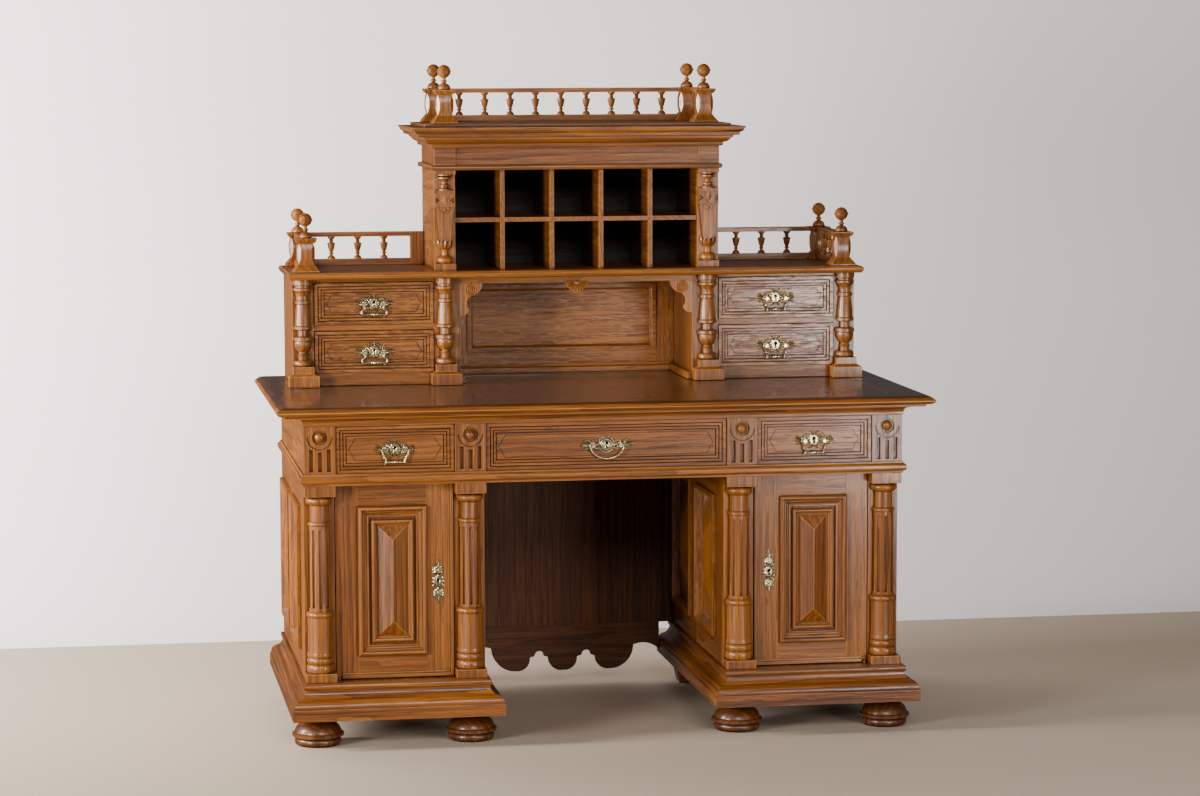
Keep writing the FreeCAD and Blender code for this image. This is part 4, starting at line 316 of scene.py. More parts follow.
def timber_finish(name, light, mid, dark, rough, coat, coat_rough, crevice_shade=0.9, fleck=0.0, worn=WEAR_AND_HIGHLIGHT):
    """Oak: rings round an offset pith, long streaks, pores, per-board tone, wear and painted highlight on
    arrises, painted shade in corners and creases.
    """
    g = Graph(name)
    grain = g.attribute("grain").outputs["Vector"]
    tone = g.attribute("tone").outputs["Fac"]
    arris = g.attribute("arris").outputs["Fac"]
    rings = g.node("ShaderNodeTexWave", wave_type="RINGS", rings_direction="X", wave_profile="SAW")
    for socket, value in RINGS.items():
        rings.inputs[socket].default_value = value
    g.link(g.stretched(grain, RING_STRETCH), rings.inputs["Vector"])
    figure = rings.outputs["Fac"]
    streak = g.noise(g.stretched(grain, STREAK_STRETCH), detail=5.0, rough=0.66, bend=0.4)
    broad = g.noise(g.stretched(grain, BROAD_STRETCH), detail=3.0, rough=0.55, bend=0.8)
    pores = g.noise(g.stretched(grain, PORE_STRETCH), detail=2.0, rough=0.5)
    body = g.math("ADD", g.math("MULTIPLY", figure, RING_SHARE), g.math("MULTIPLY", streak, STREAK_SHARE))
    body = g.math("ADD", body, g.math("MULTIPLY", tone, TONE_SHARE))
    body = g.math("ADD", body, g.range(broad, 0.3, 0.7, -BROAD_SHARE, BROAD_SHARE))
    colour = g.ramp(body, list(zip(RAMP_PLACES, (dark, mid, light))))
    if fleck:
        rays = g.noise(g.stretched(grain, FLECK_STRETCH), detail=2.0, rough=0.5, bend=2.2)
        colour = g.mix(g.range(rays, 0.50, 0.62, 0.0, fleck), colour, light)
        coat = g.range(rays, 0.40, 0.58, coat * 0.25, coat)
    pore = g.range(pores, 0.40, 0.31)
    colour = g.mix(g.math("MULTIPLY", pore, 0.7), colour, dark)
    # Arrises lighter: real wear and a painted highlight
    colour = g.mix(g.math("MULTIPLY", arris, g.range(streak, 0.3, 0.7, 0.20, 0.60)), colour, worn)
    # Painted shade: darker colour, less gloss and a thinner coat near corners and creases
    corner = g.crevice(CORNER_REACH, begins=0.62, full=0.20)
    line = g.crevice(LINE_REACH, begins=0.82, full=0.42)
    painted_shade = g.math("MULTIPLY", g.math("MAXIMUM", corner, line), crevice_shade)
    colour = g.mix(painted_shade, colour, CREVICE_SHADE)
    g.link(colour, g.shader.inputs["Base Color"])
    g.link(g.range(streak, 0.25, 0.75, rough + 0.09, rough - 0.05), g.shader.inputs["Roughness"])
    unshaded = g.math("SUBTRACT", 1.0, painted_shade)
    g.link(g.math("MULTIPLY", unshaded, UNDERCOAT_SPECULAR), g.shader.inputs["Specular IOR Level"])
    g.link(g.math("MULTIPLY", unshaded, coat), g.shader.inputs["Coat Weight"])
    g.shader.inputs["Coat Roughness"].default_value = coat_rough
    height = g.math("SUBTRACT", g.math("MULTIPLY", streak, 0.5), g.math("MULTIPLY", pore, 0.6))
    g.bump(height, strength=0.4, distance=0.0007)
    return g.material


def cast_finish(name, light, dark, rough):
    """Old metal: bright on what stands out, brown in the hollows, with small spots."""
    g = Graph(name)
    where = g.node("ShaderNodeTexCoord").outputs["Object"]
    spots = g.noise(g.stretched(where, (420.0, 420.0, 420.0)), detail=4.0, rough=0.6)
    cloud = g.noise(g.stretched(where, (70.0, 70.0, 70.0)), detail=3.0, rough=0.5)
    hollow = g.crevice(HOLLOW_REACH, begins=0.90, full=0.45)
    tarnish = g.math("MAXIMUM", g.range(spots, 0.56, 0.72, 0.0, 0.7), hollow)
    tarnish = g.math("MAXIMUM", tarnish, g.range(cloud, 0.5, 0.75, 0.0, 0.45))
    g.link(g.mix(tarnish, light, dark), g.shader.inputs["Base Color"])
    g.shader.inputs["Metallic"].default_value = 1.0
    g.link(g.math("ADD", g.math("MULTIPLY", tarnish, 0.3), rough), g.shader.inputs["Roughness"])
    g.bump(spots, strength=0.25, distance=0.0004)
    return g.material


def plain_stage_finish(name, colour, one_way=False):
    """Matt studio paper or floor with a faint cloud; one-way paper is seen through from behind."""
    g = Graph(name)
    where = g.node("ShaderNodeTexCoord").outputs["Object"]
    cloud = g.noise(g.stretched(where, (0.8, 0.8, 0.8)), detail=4.0, rough=0.6)
    darker = tuple(c * 0.93 for c in colour[:3]) + (1,)
    g.link(g.mix(cloud, colour, darker), g.shader.inputs["Base Color"])
    g.shader.inputs["Roughness"].default_value = 0.75
    if one_way:
        through = g.node("ShaderNodeMixShader")
        g.link(g.node("ShaderNodeNewGeometry").outputs["Backfacing"], through.inputs["Fac"])
        g.link(g.shader.outputs["BSDF"], through.inputs[1])
        g.link(g.node("ShaderNodeBsdfTransparent").outputs["BSDF"], through.inputs[2])
        g.link(through.outputs["Shader"], g.tree.nodes["Material Output"].inputs["Surface"])
    return g.material


OAK = timber_finish("waxed_oak", OAK_LIGHT, OAK_MID, OAK_DARK, rough=0.42, coat=0.42, coat_rough=0.16)
FIGURED = timber_finish("figured_oak", OAK_LIGHT, OAK_MID, OAK_DARK, rough=0.42, coat=0.90, coat_rough=0.17,
                        fleck=0.75)
WORKTOP = timber_finish("polished_worktop_oak", TOP_LIGHT, TOP_MID, TOP_DARK, rough=0.40, coat=0.80,
                        coat_rough=0.06, worn=TOP_LIGHT)
# Kneehole back: a darker, duller copy of the oak, its darkness painted shade for the deep kneehole
SHADED = timber_finish("shade_darkened_back_oak", SHADE_LIGHT, SHADE_MID, SHADE_DARK, rough=0.6, coat=0.0,
                       coat_rough=0.3, worn=SHADE_LIGHT)
RAW = timber_finish("unfinished_oak", RAW_LIGHT, RAW_MID, RAW_DARK, rough=0.62, coat=0.0, coat_rough=0.3,
                    crevice_shade=0.5)
# Near-black pigeonhole backs
NEAR_BLACK = timber_finish("near_black_oak", NEAR_BLACK_LIGHT, NEAR_BLACK_DARK, NEAR_BLACK_DARK, rough=0.55, coat=0.0,
                      coat_rough=0.3, crevice_shade=0.3)
BRASS = cast_finish("aged_brass", BRASS_LIGHT, BRASS_DARK, rough=0.26)
STEEL = cast_finish("worn_steel", STEEL_LIGHT, STEEL_DARK, rough=0.40)
KEYHOLE = cast_finish("keyhole_shadow", NEAR_BLACK_DARK, NEAR_BLACK_DARK, rough=0.7)
METALS = [BRASS, KEYHOLE, STEEL]
KEYHOLE_INDEX = 1
STEEL_INDEX = 2


def unique(items):
    """Each item once, in the order they come in, so that every run works in the same order."""
    return list(dict.fromkeys(items))


def solids_in(bm):
    """The faces of each closed solid, which follow each other in the mesh."""
    waiting, groups, current = {}, [], []
    for face in bm.faces:
        current.append(face)
        ring = [tuple(round(c * POSITIONS_PER_METRE) for c in v.co) for v in face.verts]
        for a, b in zip(ring, ring[1:] + ring[:1]):
            if a == b:
                continue
            if waiting.get((b, a)):
                waiting[(b, a)] -= 1
                if not waiting[(b, a)]:
                    del waiting[(b, a)]
            else:
                waiting[(a, b)] = waiting.get((a, b), 0) + 1
        if not waiting:
            groups.append(current)
            current = []
    return groups


def islands(bm):
    """Vertices of each connected shell."""
    left = set(bm.verts)
    found = []
    for start in bm.verts:
        if start not in left:
            continue
        left.discard(start)
        shell, queue = [start], [start]
        while queue:
            for edge in queue.pop().link_edges:
                for v in edge.verts:
                    if v in left:
                        left.discard(v)
                        shell.append(v)
                        queue.append(v)
        found.append(shell)
    return found


def give_grain(bm, name, upright=False):
    """Coordinates along the grain and a tone for each board, by dice that the piece's name sets, shifted by
    the node's own tone and painted shade.
    """
    grain = bm.verts.layers.float_vector.get("grain") or bm.verts.layers.float_vector.new("grain")
    tone = bm.verts.layers.float.get("tone") or bm.verts.layers.float.new("tone")
    dice = random.Random(name)
    for shell in islands(bm):
        low = [min(v.co[i] for v in shell) for i in range(3)]
        high = [max(v.co[i] for v in shell) for i in range(3)]
        size = [h - l for l, h in zip(low, high)]
        along = 2 if upright else max(range(3), key=lambda i: size[i])
        a, b = [i for i in range(3) if i != along]
        middle = [(l + h) / 2 for l, h in zip(low, high)]
        shift = Vector((dice.uniform(-GRAIN_SHIFT, GRAIN_SHIFT),
                        dice.choice((-1, 1)) * dice.uniform(PITH_NEAR, PITH_FAR),
                        dice.uniform(-PITH_FAR, PITH_FAR)))
        board_tone_and_shade = dice.uniform(-1, 1) + TONE_AND_SHADE_SHIFT.get(name, 0.0)
        for v in shell:
            v[grain] = Vector((v.co[along], v.co[a] - middle[a], v.co[b] - middle[b])) + shift
            v[tone] = board_tone_and_shade


def shade(bm, crisp=False):
    """Smooth faces with sharp creases kept; shells of few flat faces keep every crease."""
    for face in bm.faces:
        face.smooth = True
    for shell in islands(bm):
        edges = {e for v in shell for e in v.link_edges}
        faces = {f for v in shell for f in v.link_faces}
        limit = FACET_ANGLE if len(faces) <= (CRISP_FACES if crisp else FACET_FACES) else SHARP_ANGLE
        for edge in edges:
            edge.smooth = len(edge.link_faces) == 2 and edge.calc_face_angle(0) < limit


def placed(bm, name, finish):
    """The bmesh made an object of the scene, with one finish or a list of them."""
    mesh = bpy.data.meshes.new(name)
    bm.to_mesh(mesh)
    bm.free()
    for material in finish if isinstance(finish, list) else [finish]:
        mesh.materials.append(material)
    made = bpy.data.objects.new(name, mesh)
    bpy.context.scene.collection.objects.link(made)
    return made


def finished(bm, name, body, finish):
    """The bmesh made an object that rides on a body."""
    piece = placed(bm, name, finish)
    keep = piece.modifiers.new("even_faces", "WEIGHTED_NORMAL")
    keep.keep_sharp = True
    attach(piece, body)
    return piece


def body_of(node):
    """The body that a node belongs to."""
    return next(body for body, nodes in frame["record"]["behaviour"]["bodies"].items() if node in nodes)


def softened(node, arris, finish, upright=False, choose=None):
    """A worked copy of a CAD node: each solid merged, its flats joined, its arrises rounded and marked for
    wear and painted highlight.

    The chooser picks a finish for each solid. The second finish goes to the worktop's upper faces and to the
    outside of the raw nodes.
    """
    bm = bmesh.new()
    bm.from_mesh(frame["nodes"][node].data)
    worn = bm.faces.layers.float.new("arris")
    for faces in solids_in(bm):
        verts = unique(v for f in faces for v in f.verts)
        bmesh.ops.remove_doubles(bm, verts=verts, dist=MERGE)
        verts = [v for v in verts if v.is_valid]
        edges = unique(e for v in verts for e in v.link_edges)
        bmesh.ops.dissolve_limit(bm, angle_limit=FLAT_ANGLE, verts=verts, edges=edges)
        verts = [v for v in verts if v.is_valid]
        edges = unique(e for v in verts for e in v.link_edges)
        shell = unique(f for v in verts for f in v.link_faces)
        if choose:
            index = choose(verts)
            for face in shell:
                face.material_index = index
        if len(shell) <= PLAIN_FACES:
            sharp = [e for e in edges if len(e.link_faces) == 2 and e.calc_face_angle(0) > ARRIS_ANGLE]
            made = bmesh.ops.bevel(bm, geom=sharp, offset=arris, offset_type="OFFSET", affect="EDGES",
                                   segments=2, profile=0.5, clamp_overlap=True, material=-1)
            # Bevel faces take the lighter colour of wear and painted highlight
            for face in made["faces"]:
                face[worn] = 1.0
    bm.normal_update()
    low, high = (Vector(p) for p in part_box(node))
    if node.startswith("worktop"):
        for face in bm.faces:
            top = high.z - face.calc_center_median().z < SHOWN_DEPTH
            face.material_index = int(top or face.normal.z > UPWARD)
    elif node in RAW_NODES:
        for face in bm.faces:
            middle = face.calc_center_median()
            face.material_index = int(min(*(middle - low), *(high - middle)) < SHOWN_DEPTH)
    give_grain(bm, node, upright)
    shade(bm, node == "gallery_posts")
    piece = finished(bm, "oak_" + node, body_of(node), finish)
    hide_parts(node)
    return piece


ARRIS = {"worktop_frame": 0.0012, "worktop_field": 0.0006, "bed_moulding": 0.0008, "string_board": 0.0008,
         "frieze_blocks": 0.0008, "pedestal_frames": 0.0008, "pedestal_side_panels": 0.0008,
         "pedestal_columns": 0.0012, "plinths": 0.0012, "bun_feet": 0.0010, "rear_feet": 0.0015,
         "kneehole_back": 0.0010, "stage_cases": 0.0008, "stage_columns": 0.0010, "niche_back": 0.0008,
         "niche_apron": 0.0010, "shelf_board": 0.0010, "herm_pilasters": 0.0005, "cornice": 0.0009,
         "gallery_posts": 0.0009, "gallery_railings": 0.0010}
# Other finishes by node; the kneehole back's darkness is painted shade
OTHER_TIMBER = {"kneehole_back": SHADED, "niche_back": FIGURED, "pedestal_side_panels": FIGURED}
TURNED = ("pedestal_columns", "bun_feet", "stage_columns", "herm_pilasters", "gallery_posts")
RAW_NODES = ("frieze_case", "drawer_runners", "pedestal_insides")


def dress_case():
    """Every wooden node of the fixed case."""
    for node, arris in ARRIS.items():
        worktop = node.startswith("worktop")
        finish = [OAK, WORKTOP] if worktop else OTHER_TIMBER.get(node, OAK)
        softened(node, arris, finish, node in TURNED)
    for node in RAW_NODES:
        softened(node, HIDDEN_ARRIS, [RAW, OAK])

    def back_is_black(verts):
        ys = [v.co.y for v in verts]
        zs = [v.co.z for v in verts]
        thin = max(ys) - min(ys) < BACK_BOARD_THICK
        return int(thin and max(zs) - min(zs) > BACK_BOARD_HIGH and min(ys) > BACK_BOARD_FROM)

    softened("pigeonholes", HIDDEN_ARRIS, [OAK, NEAR_BLACK], choose=back_is_black)


def dress_doors_and_drawers():
    """Wooden nodes that move."""
    for side in ("left", "right"):
        for piece in ("frame", "panel"):
            softened("%s_door_%s" % (side, piece), DOOR_ARRIS, OAK)
    for node in frame["nodes"]:
        if node.endswith("_drawer_front"):
            upper = node.split("_")[1] in ("upper", "lower")
            softened(node, FRONT_ARRIS, FIGURED if upper else OAK)
        elif node.endswith("_drawer_box"):
            softened(node, HIDDEN_ARRIS, RAW)


def bar(bm, path, radii, sides=8):
    """A round bar drawn along a path with a radius at each point, both ends closed."""
    frames = []
    for i, point in enumerate(path):
        along = (path[min(i + 1, len(path) - 1)] - path[max(i - 1, 0)]).normalized()
        across = along.cross(INWARD).normalized()
        turn = Matrix((across, across.cross(along), along)).transposed().to_4x4()
        frames.append(Matrix.Translation(point) @ turn @ Matrix.Diagonal((radii[i], radii[i], 1, 1)))
    ring = bmesh.ops.create_circle(bm, cap_ends=False, segments=sides, radius=1.0, matrix=frames[0])["verts"]
    edges = unique(e for v in ring for e in v.link_edges)
    bmesh.ops.edgeloop_fill(bm, edges=edges)
    for before, here in zip(frames, frames[1:]):
        made = bmesh.ops.extrude_edge_only(bm, edges=edges)["geom"]
        verts = {g for g in made if isinstance(g, bmesh.types.BMVert)}
        edges = [g for g in made if isinstance(g, bmesh.types.BMEdge) and verts.issuperset(g.verts)]
        bmesh.ops.transform(bm, matrix=here @ before.inverted(), verts=list(verts))
    bmesh.ops.edgeloop_fill(bm, edges=edges)


def bead(bm, place, radius, stretch=(1, 1, 1)):
    """A cast bead, stretched along the axes."""
    matrix = Matrix.Translation(place) @ Matrix.Diagonal((*stretch, 1))
    bmesh.ops.create_uvsphere(bm, u_segments=10, v_segments=6, radius=radius, matrix=matrix)


def blade(bm, spine, half_widths, rise):
    """A carved leaf on its ground: edges on the ground, two swelling lobes and a vein between them."""
    last = len(spine) - 1
    verts = bmesh.ops.create_grid(bm, x_segments=4, y_segments=last, size=0.5)["verts"]
    for v in verts:
        i = round((v.co.y + 0.5) * last)
        across = v.co.x * 2
        along = (spine[min(i + 1, last)] - spine[max(i - 1, 0)]).normalized()
        side = along.cross(INWARD).normalized()
        lift = rise * (0.45 if abs(across) < 0.25 else 1.0) * (abs(across) < 0.75)
        lift *= min(1.0, half_widths[i] / max(half_widths) + 0.35)
        v.co = spine[i] + side * across * half_widths[i] - INWARD * lift
    rim = [e for e in unique(e for v in verts for e in v.link_edges) if len(e.link_faces) == 1]
    bmesh.ops.holes_fill(bm, edges=rim, sides=0)


def leaves(bm, at, table, turn=1):
    """Cast leaves from a table, placed by a plate's own measure; turn -1 sets them upside down."""
    for spine, half_widths, rise in table:
        spots = [at(across, turn * up) for across, up in spine]
        blade(bm, spots, [w / 1000 for w in half_widths], rise / 1000)


def lobed_plate(bm, centre, half_wide, half_high, lobes, notch, thick, rim):
    """A scalloped plate with a raised rim round a dished middle."""
    made = bmesh.ops.create_circle(bm, cap_ends=True, segments=lobes * 6, radius=1.0)["verts"]
    for v in made:
        angle = math.atan2(v.co.y, v.co.x)
        reach = 1.0 - notch * (1.0 - abs(math.sin(lobes * angle / 2)))
        v.co = centre + Vector((half_wide * reach * math.cos(angle), 0, half_high * reach * math.sin(angle)))
    face = next(f for f in made[0].link_faces)
    front = bmesh.ops.extrude_face_region(bm, geom=[face])["geom"]
    verts = [g for g in front if isinstance(g, bmesh.types.BMVert)]
    bmesh.ops.translate(bm, verts=verts, vec=-INWARD * thick)
    top = [g for g in front if isinstance(g, bmesh.types.BMFace)]
    bmesh.ops.inset_region(bm, faces=top, thickness=rim, depth=0.0)
    bmesh.ops.translate(bm, verts=list(top[0].verts), vec=-INWARD * thick * 0.6)
    bmesh.ops.inset_region(bm, faces=top, thickness=rim * 0.8, depth=0.0)
    bmesh.ops.translate(bm, verts=list(top[0].verts), vec=INWARD * thick)


def rosette(bm, centre, radius, petals, rise):
    """A flower: a ring of petals round an open middle."""
    for i in range(petals):
        angle = 2 * math.pi * i / petals
        spot = centre + Vector((math.cos(angle), 0, math.sin(angle))) * radius * 0.68
        bead(bm, spot, radius * 0.36, (1, rise / (radius * 0.36), 1))


def keyhole_ring(bm, dark, centre, lift):
    """A raised lip round a keyhole on one mesh, and the dark hole itself on another."""
    r, long = KEYHOLE_RADIUS, KEYHOLE_LENGTH
    steps = [math.radians(a) for a in range(-60, 241, 30)]
    arch = [centre + Vector((r * 1.35 * math.cos(a), -lift, r * 1.35 * math.sin(a))) for a in steps]
    low = centre + Vector((0, -lift, -long))
    foot = low + Vector((0, 0, -0.0006))
    right, left = [low + Vector((side * r * 0.95, 0, 0.0004)) for side in (1, -1)]
    path = [foot, right, *arch, left, foot]
    bar(bm, path, [KEYHOLE_LIP] * len(path), sides=6)
    hole = Matrix.Translation(centre - INWARD * lift) @ Matrix.Rotation(math.pi / 2, 4, "X")
    bmesh.ops.create_cone(dark, cap_ends=True, segments=16, radius1=r * 1.15, radius2=r * 1.15,
                          depth=KEYHOLE_DARK_THICK, matrix=hole)
    stem = Matrix.Diagonal((r * 1.5, KEYHOLE_DARK_THICK, long, 1))
    middle = Matrix.Translation(centre + Vector((0, -lift, -long / 2)))
    bmesh.ops.create_cube(dark, size=1.0, matrix=middle @ stem)


def spiral(bm, centre, radius, start, turn, count, thick, closing, thinning, sides):
    """A bar that winds inwards round a centre and thins as it goes; gives back its last point."""
    shares = [i / count for i in range(count + 1)]
    path = []
    for share in shares:
        angle = start + turn * share
        reach = radius * (1 - closing * share)
        path.append(centre + Vector((math.cos(angle), 0, math.sin(angle))) * reach)
    bar(bm, path, [thick * (1 - thinning * share) for share in shares], sides)
    return path[-1]


def curl(bm, start, radius, turns, thick, hand, swing):
    """A small volute that winds inwards from a point; hand is 1 or -1, swing the angle it sets out from."""
    centre = start - Vector((math.cos(swing), 0, math.sin(swing))) * radius
    count = max(6, int(turns * 10))
    turn = hand * turns * 2 * math.pi
    end = spiral(bm, centre, radius, swing, turn, count, thick, closing=0.8, thinning=0.4, sides=6)
    bead(bm, end, thick * 1.1)


def both_sides(make, centre):
    """Calls a maker for each half, with its side and a function placing millimetres across, up and out."""
    for side in (1, -1):
        make(side, lambda across, up, out=0.0: centre + Vector((side * across, -out, up)) / 1000)


def leafy_plate(bm, dark, key):
    """The pierced drawer plate: keyhole cartouche, crest, scrolled wings, rosettes and pointed end leaves."""
    lobed_plate(bm, key, half_wide=0.0130, half_high=0.0150, lobes=10, notch=0.16, thick=0.0018, rim=0.0016)
    keyhole_ring(bm, dark, key + Vector((0, 0, KEYHOLE_ABOVE_CENTRE)), lift=0.0022)

    def wing(side, at):
        leaves(bm, at, WING_LEAVES)
        rosette(bm, at(23, -2), radius=0.0076, petals=9, rise=0.0020)
        curl(bm, at(18, 12, 1.0), radius=0.0042, turns=1.1, thick=0.0011, hand=side, swing=math.pi / 2)
        curl(bm, at(18, -12, 1.0), radius=0.0038, turns=1.1, thick=0.0010, hand=-side, swing=-math.pi / 2)

    both_sides(wing, key)
    up = [key + Vector((0, 0, z)) for z in (0.0125, 0.016, 0.0195, 0.022)]
    blade(bm, up, [0.0020, 0.0032, 0.0026, 0.0004], 0.0028)


def beaded_plate(bm, dark, key):
    """The middle drawer's plate: a ring of beads round a dished boss, leaf clusters and pointed ends."""
    lobed_plate(bm, key, half_wide=0.0150, half_high=0.0150, lobes=8, notch=0.0, thick=0.0014, rim=0.0016)
    boss = key - INWARD * MIDDLE_BOSS_STEP
    lobed_plate(bm, boss, half_wide=0.0102, half_high=0.0102, lobes=8, notch=0.0, thick=0.0016, rim=0.0012)
    keyhole_ring(bm, dark, key + Vector((0, -MIDDLE_BOSS_STEP, KEYHOLE_ABOVE_CENTRE)), lift=0.0020)
    for i in range(MIDDLE_BEADS):
        angle = 2 * math.pi * i / MIDDLE_BEADS
        across, up = math.cos(angle) * MIDDLE_BEAD_RING, math.sin(angle) * MIDDLE_BEAD_RING
        bead(bm, key + Vector((across, -MIDDLE_BOSS_STEP, up)), radius=0.0019)

    def wing(side, at):
        for turn in (1, -1):
            leaves(bm, at, MIDDLE_SIDE_LEAVES, turn)
        leaves(bm, at, MIDDLE_AXIS_LEAVES)
        rosette(bm, at(31, -2), radius=0.0078, petals=10, rise=0.0022)
        for i in range(6):
            bead(bm, at(41 + 3.6 * i, 0, 2.6), 0.0011)

    both_sides(wing, key)


def pour(source, target):
    """Adds one bmesh to another and frees it."""
    mesh = bpy.data.meshes.new("passing")
    source.to_mesh(mesh)
    source.free()
    target.from_mesh(mesh)
    bpy.data.meshes.remove(mesh)


def posts_and_lock(bm, node, seat):
    """The bored posts and the lock of a plate node, kept as built; the flat plate between them is cut off."""
    copy = bmesh.new()
    copy.from_mesh(frame["nodes"][node].data)
    for faces in solids_in(copy):
        verts = unique(v for f in faces for v in f.verts)
        bmesh.ops.remove_doubles(copy, verts=verts, dist=MERGE)
    for shell in islands(copy):
        if min(v.co.y for v in shell) > seat:
            continue
        parts = unique(g for v in shell for g in [v, *v.link_edges, *v.link_faces])
        cut = bmesh.ops.bisect_plane(copy, geom=parts, plane_co=(0, seat, 0), plane_no=INWARD,
                                     clear_outer=True)
        rim = [g for g in cut["geom_cut"] if isinstance(g, bmesh.types.BMEdge)]
        bmesh.ops.holes_fill(copy, edges=rim, sides=0)
    pour(copy, bm)


def hung_bail(bm, pivot, reach, wire, shape):
    """A bail with its pins and knobs: a thin plain bow, or shaped arms with knots, tips and a beaded bar."""
    def at(across, up):
        return pivot + Vector((across, 0, up)) / 1000

    for side in (1, -1):
        end = pivot + Vector((side * reach, 0, 0))
        bead(bm, end, KNOB_RADIUS)
        pin = [end - Vector((side * PIN_LENGTH * share, 0, 0)) for share in (0, 0.5, 1)]
        bar(bm, pin, [wire] * len(pin), sides=12)
    if shape is None:
        steps = [math.radians(a) for a in range(0, -181, -12)]
        bow = [pivot + Vector((reach * math.cos(a), 0, MIDDLE_BAIL_DROP * math.sin(a))) for a in steps]
        bar(bm, bow, [wire * (1.0 - 0.3 * math.sin(a)) for a in steps], sides=10)
        return
    for side in (1, -1):
        bar(bm, [at(side * x, z) for x, z in shape["arm"]], [r / 1000 for r in shape["thick"]], 8)
        for tip in shape["tips"]:
            bar(bm, [at(side * x, z) for x, z in tip], [r / 1000 for r in TIP_THICK], sides=6)
        for (x, z), radius in shape["knots"]:
            bead(bm, at(side * x, z), radius / 1000, (1, 1, 1.15))
    far, level = shape["bar"]
    shares = [i / 5 for i in range(-5, 6)]
    low = [at(far * share, level + 1.2 * math.cos(share * math.pi / 2)) for share in shares]
    bar(bm, low, [(2.1 + 0.7 * math.cos(share * 3 * math.pi) ** 2) / 1000 for share in shares], 8)
    bead(bm, at(0, level + 1.6), 0.0039, (1.2, 1, 1.1))
    for side in (1, -1):
        bead(bm, at(side * 6.6, level + 1.2), 0.0031, (0.6, 1, 1))


def two_metals(bm, dark, name, body):
    """One object of a brass mesh and the dark keyhole in it."""
    bmesh.ops.recalc_face_normals(bm, faces=bm.faces[:])
    for face in dark.faces:
        face.material_index = KEYHOLE_INDEX
    pour(dark, bm)
    shade_cast(bm)
    return finished(bm, name, body, METALS)


def shade_cast(bm):
    """Cast metal: all soft but for the real edges."""
    for face in bm.faces:
        face.smooth = True
    for edge in bm.edges:
        edge.smooth = len(edge.link_faces) == 2 and edge.calc_face_angle(0) < SHARP_ANGLE


def dress_drawer_brass(node):
    """Plate and bail of one drawer."""
    name = node[:-len("_bail")]
    low, high = (Vector(p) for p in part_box(node))
    pivot = Vector(((low.x + high.x) / 2, (low.y + high.y) / 2, high.z - KNOB_RADIUS))
    key = pivot + Vector((0, PIVOT_TO_FIELD, PIVOT_TO_KEY))
    middle = name.startswith("centre")
    bm, dark = bmesh.new(), bmesh.new()
    (beaded_plate if middle else leafy_plate)(bm, dark, key)
    posts_and_lock(bm, name + "_plate", key.y - PLATE_SEAT)
    plate = two_metals(bm, dark, "brass_" + name + "_plate", name)
    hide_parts(name + "_plate")
    bm = bmesh.new()
    drop, shape = BAIL_DROP, SPREAD
    if middle:
        drop, shape = MIDDLE_BAIL_DROP, None
    elif name in LYRE_DRAWERS:
        shape = LYRE
    wire = pivot.z - drop - low.z
    hung_bail(bm, pivot, (high.x - low.x) / 2 - KNOB_RADIUS, wire, shape)
    bmesh.ops.recalc_face_normals(bm, faces=bm.faces[:])
    shade_cast(bm)
    bail = finished(bm, "brass_" + node, node, BRASS)
    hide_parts(node)


def long_escutcheon(bm, dark, key):
    """A door's tall keyhole plate: cartouche with curls, necks, two rosettes and leaf tips."""
    lobed_plate(bm, key, half_wide=0.0105, half_high=0.0140, lobes=8, notch=0.14, thick=0.0018, rim=0.0014)
    keyhole_ring(bm, dark, key + Vector((0, 0, KEYHOLE_ABOVE_CENTRE)), lift=0.0022)

    def half(side, at):
        lean = math.radians(60 if side > 0 else 120)
        for up in (8.5, 0, -8.5):
            start = at(14.5 - 0.12 * abs(up), up + 2.0, 1.0)
            curl(bm, start, radius=0.0030, turns=1.2, thick=0.0012, hand=side, swing=lean)
        level = math.radians(0 if side > 0 else 180)
        for turn in (1, -1):
            for step in (20.5, 26, 31.5):
                start = at(12.0 - 0.16 * abs(step - 26), turn * step, 1.0)
                curl(bm, start, radius=0.0028, turns=1.1, thick=0.0013, hand=side * turn, swing=level)
            leaves(bm, at, DOOR_LEAVES, turn)

    both_sides(half, key)
    for up in (1, -1):
        neck = [key + Vector((0, -0.0006, up * z)) for z in (0.012, 0.014, 0.016, 0.018)]
        bar(bm, neck, [0.0040, 0.0032, 0.0032, 0.0042], 8)
        hub = key + Vector((0, 0, up * 0.026))
        lobed_plate(bm, hub, half_wide=0.0098, half_high=0.0095, lobes=8, notch=0.16, thick=0.0016,
                    rim=0.0014)
        bead(bm, hub - INWARD * 0.0016, 0.0030, (1, 0.8, 1))
        tip = [key + Vector((0, 0, up * z)) for z in (0.034, 0.039, 0.045, 0.0505)]
        blade(bm, tip, [0.0030, 0.0042, 0.0028, 0.0003], 0.0026)


def dress_door_brass(side, sign):
    """Escutcheon of one door, with the hinge leaves and the lock kept as built."""
    node = side + "_door_fittings"
    low, high = (Vector(p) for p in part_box(side + "_door_frame"))
    lock_edge = low.x if sign > 0 else high.x
    bm, dark, copy = bmesh.new(), bmesh.new(), bmesh.new()
    copy.from_mesh(frame["nodes"][node].data)
    shield_y = None
    for faces in solids_in(copy):
        verts = unique(v for f in faces for v in f.verts)
        ys = [v.co.y for v in verts]
        if max(ys) - min(ys) < SHIELD_THICK:
            shield_y = max(ys)
            bmesh.ops.delete(copy, geom=faces, context="FACES")
        else:
            for face in faces:
                face.material_index = STEEL_INDEX
            bmesh.ops.remove_doubles(copy, verts=verts, dist=MERGE)
    pour(copy, bm)
    key = Vector((lock_edge + sign * ESCUTCHEON_INSET, shield_y, low.z + ESCUTCHEON_RISE))
    long_escutcheon(bm, dark, key)
    piece = two_metals(bm, dark, "brass_" + node, side + "_door")
    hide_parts(node)


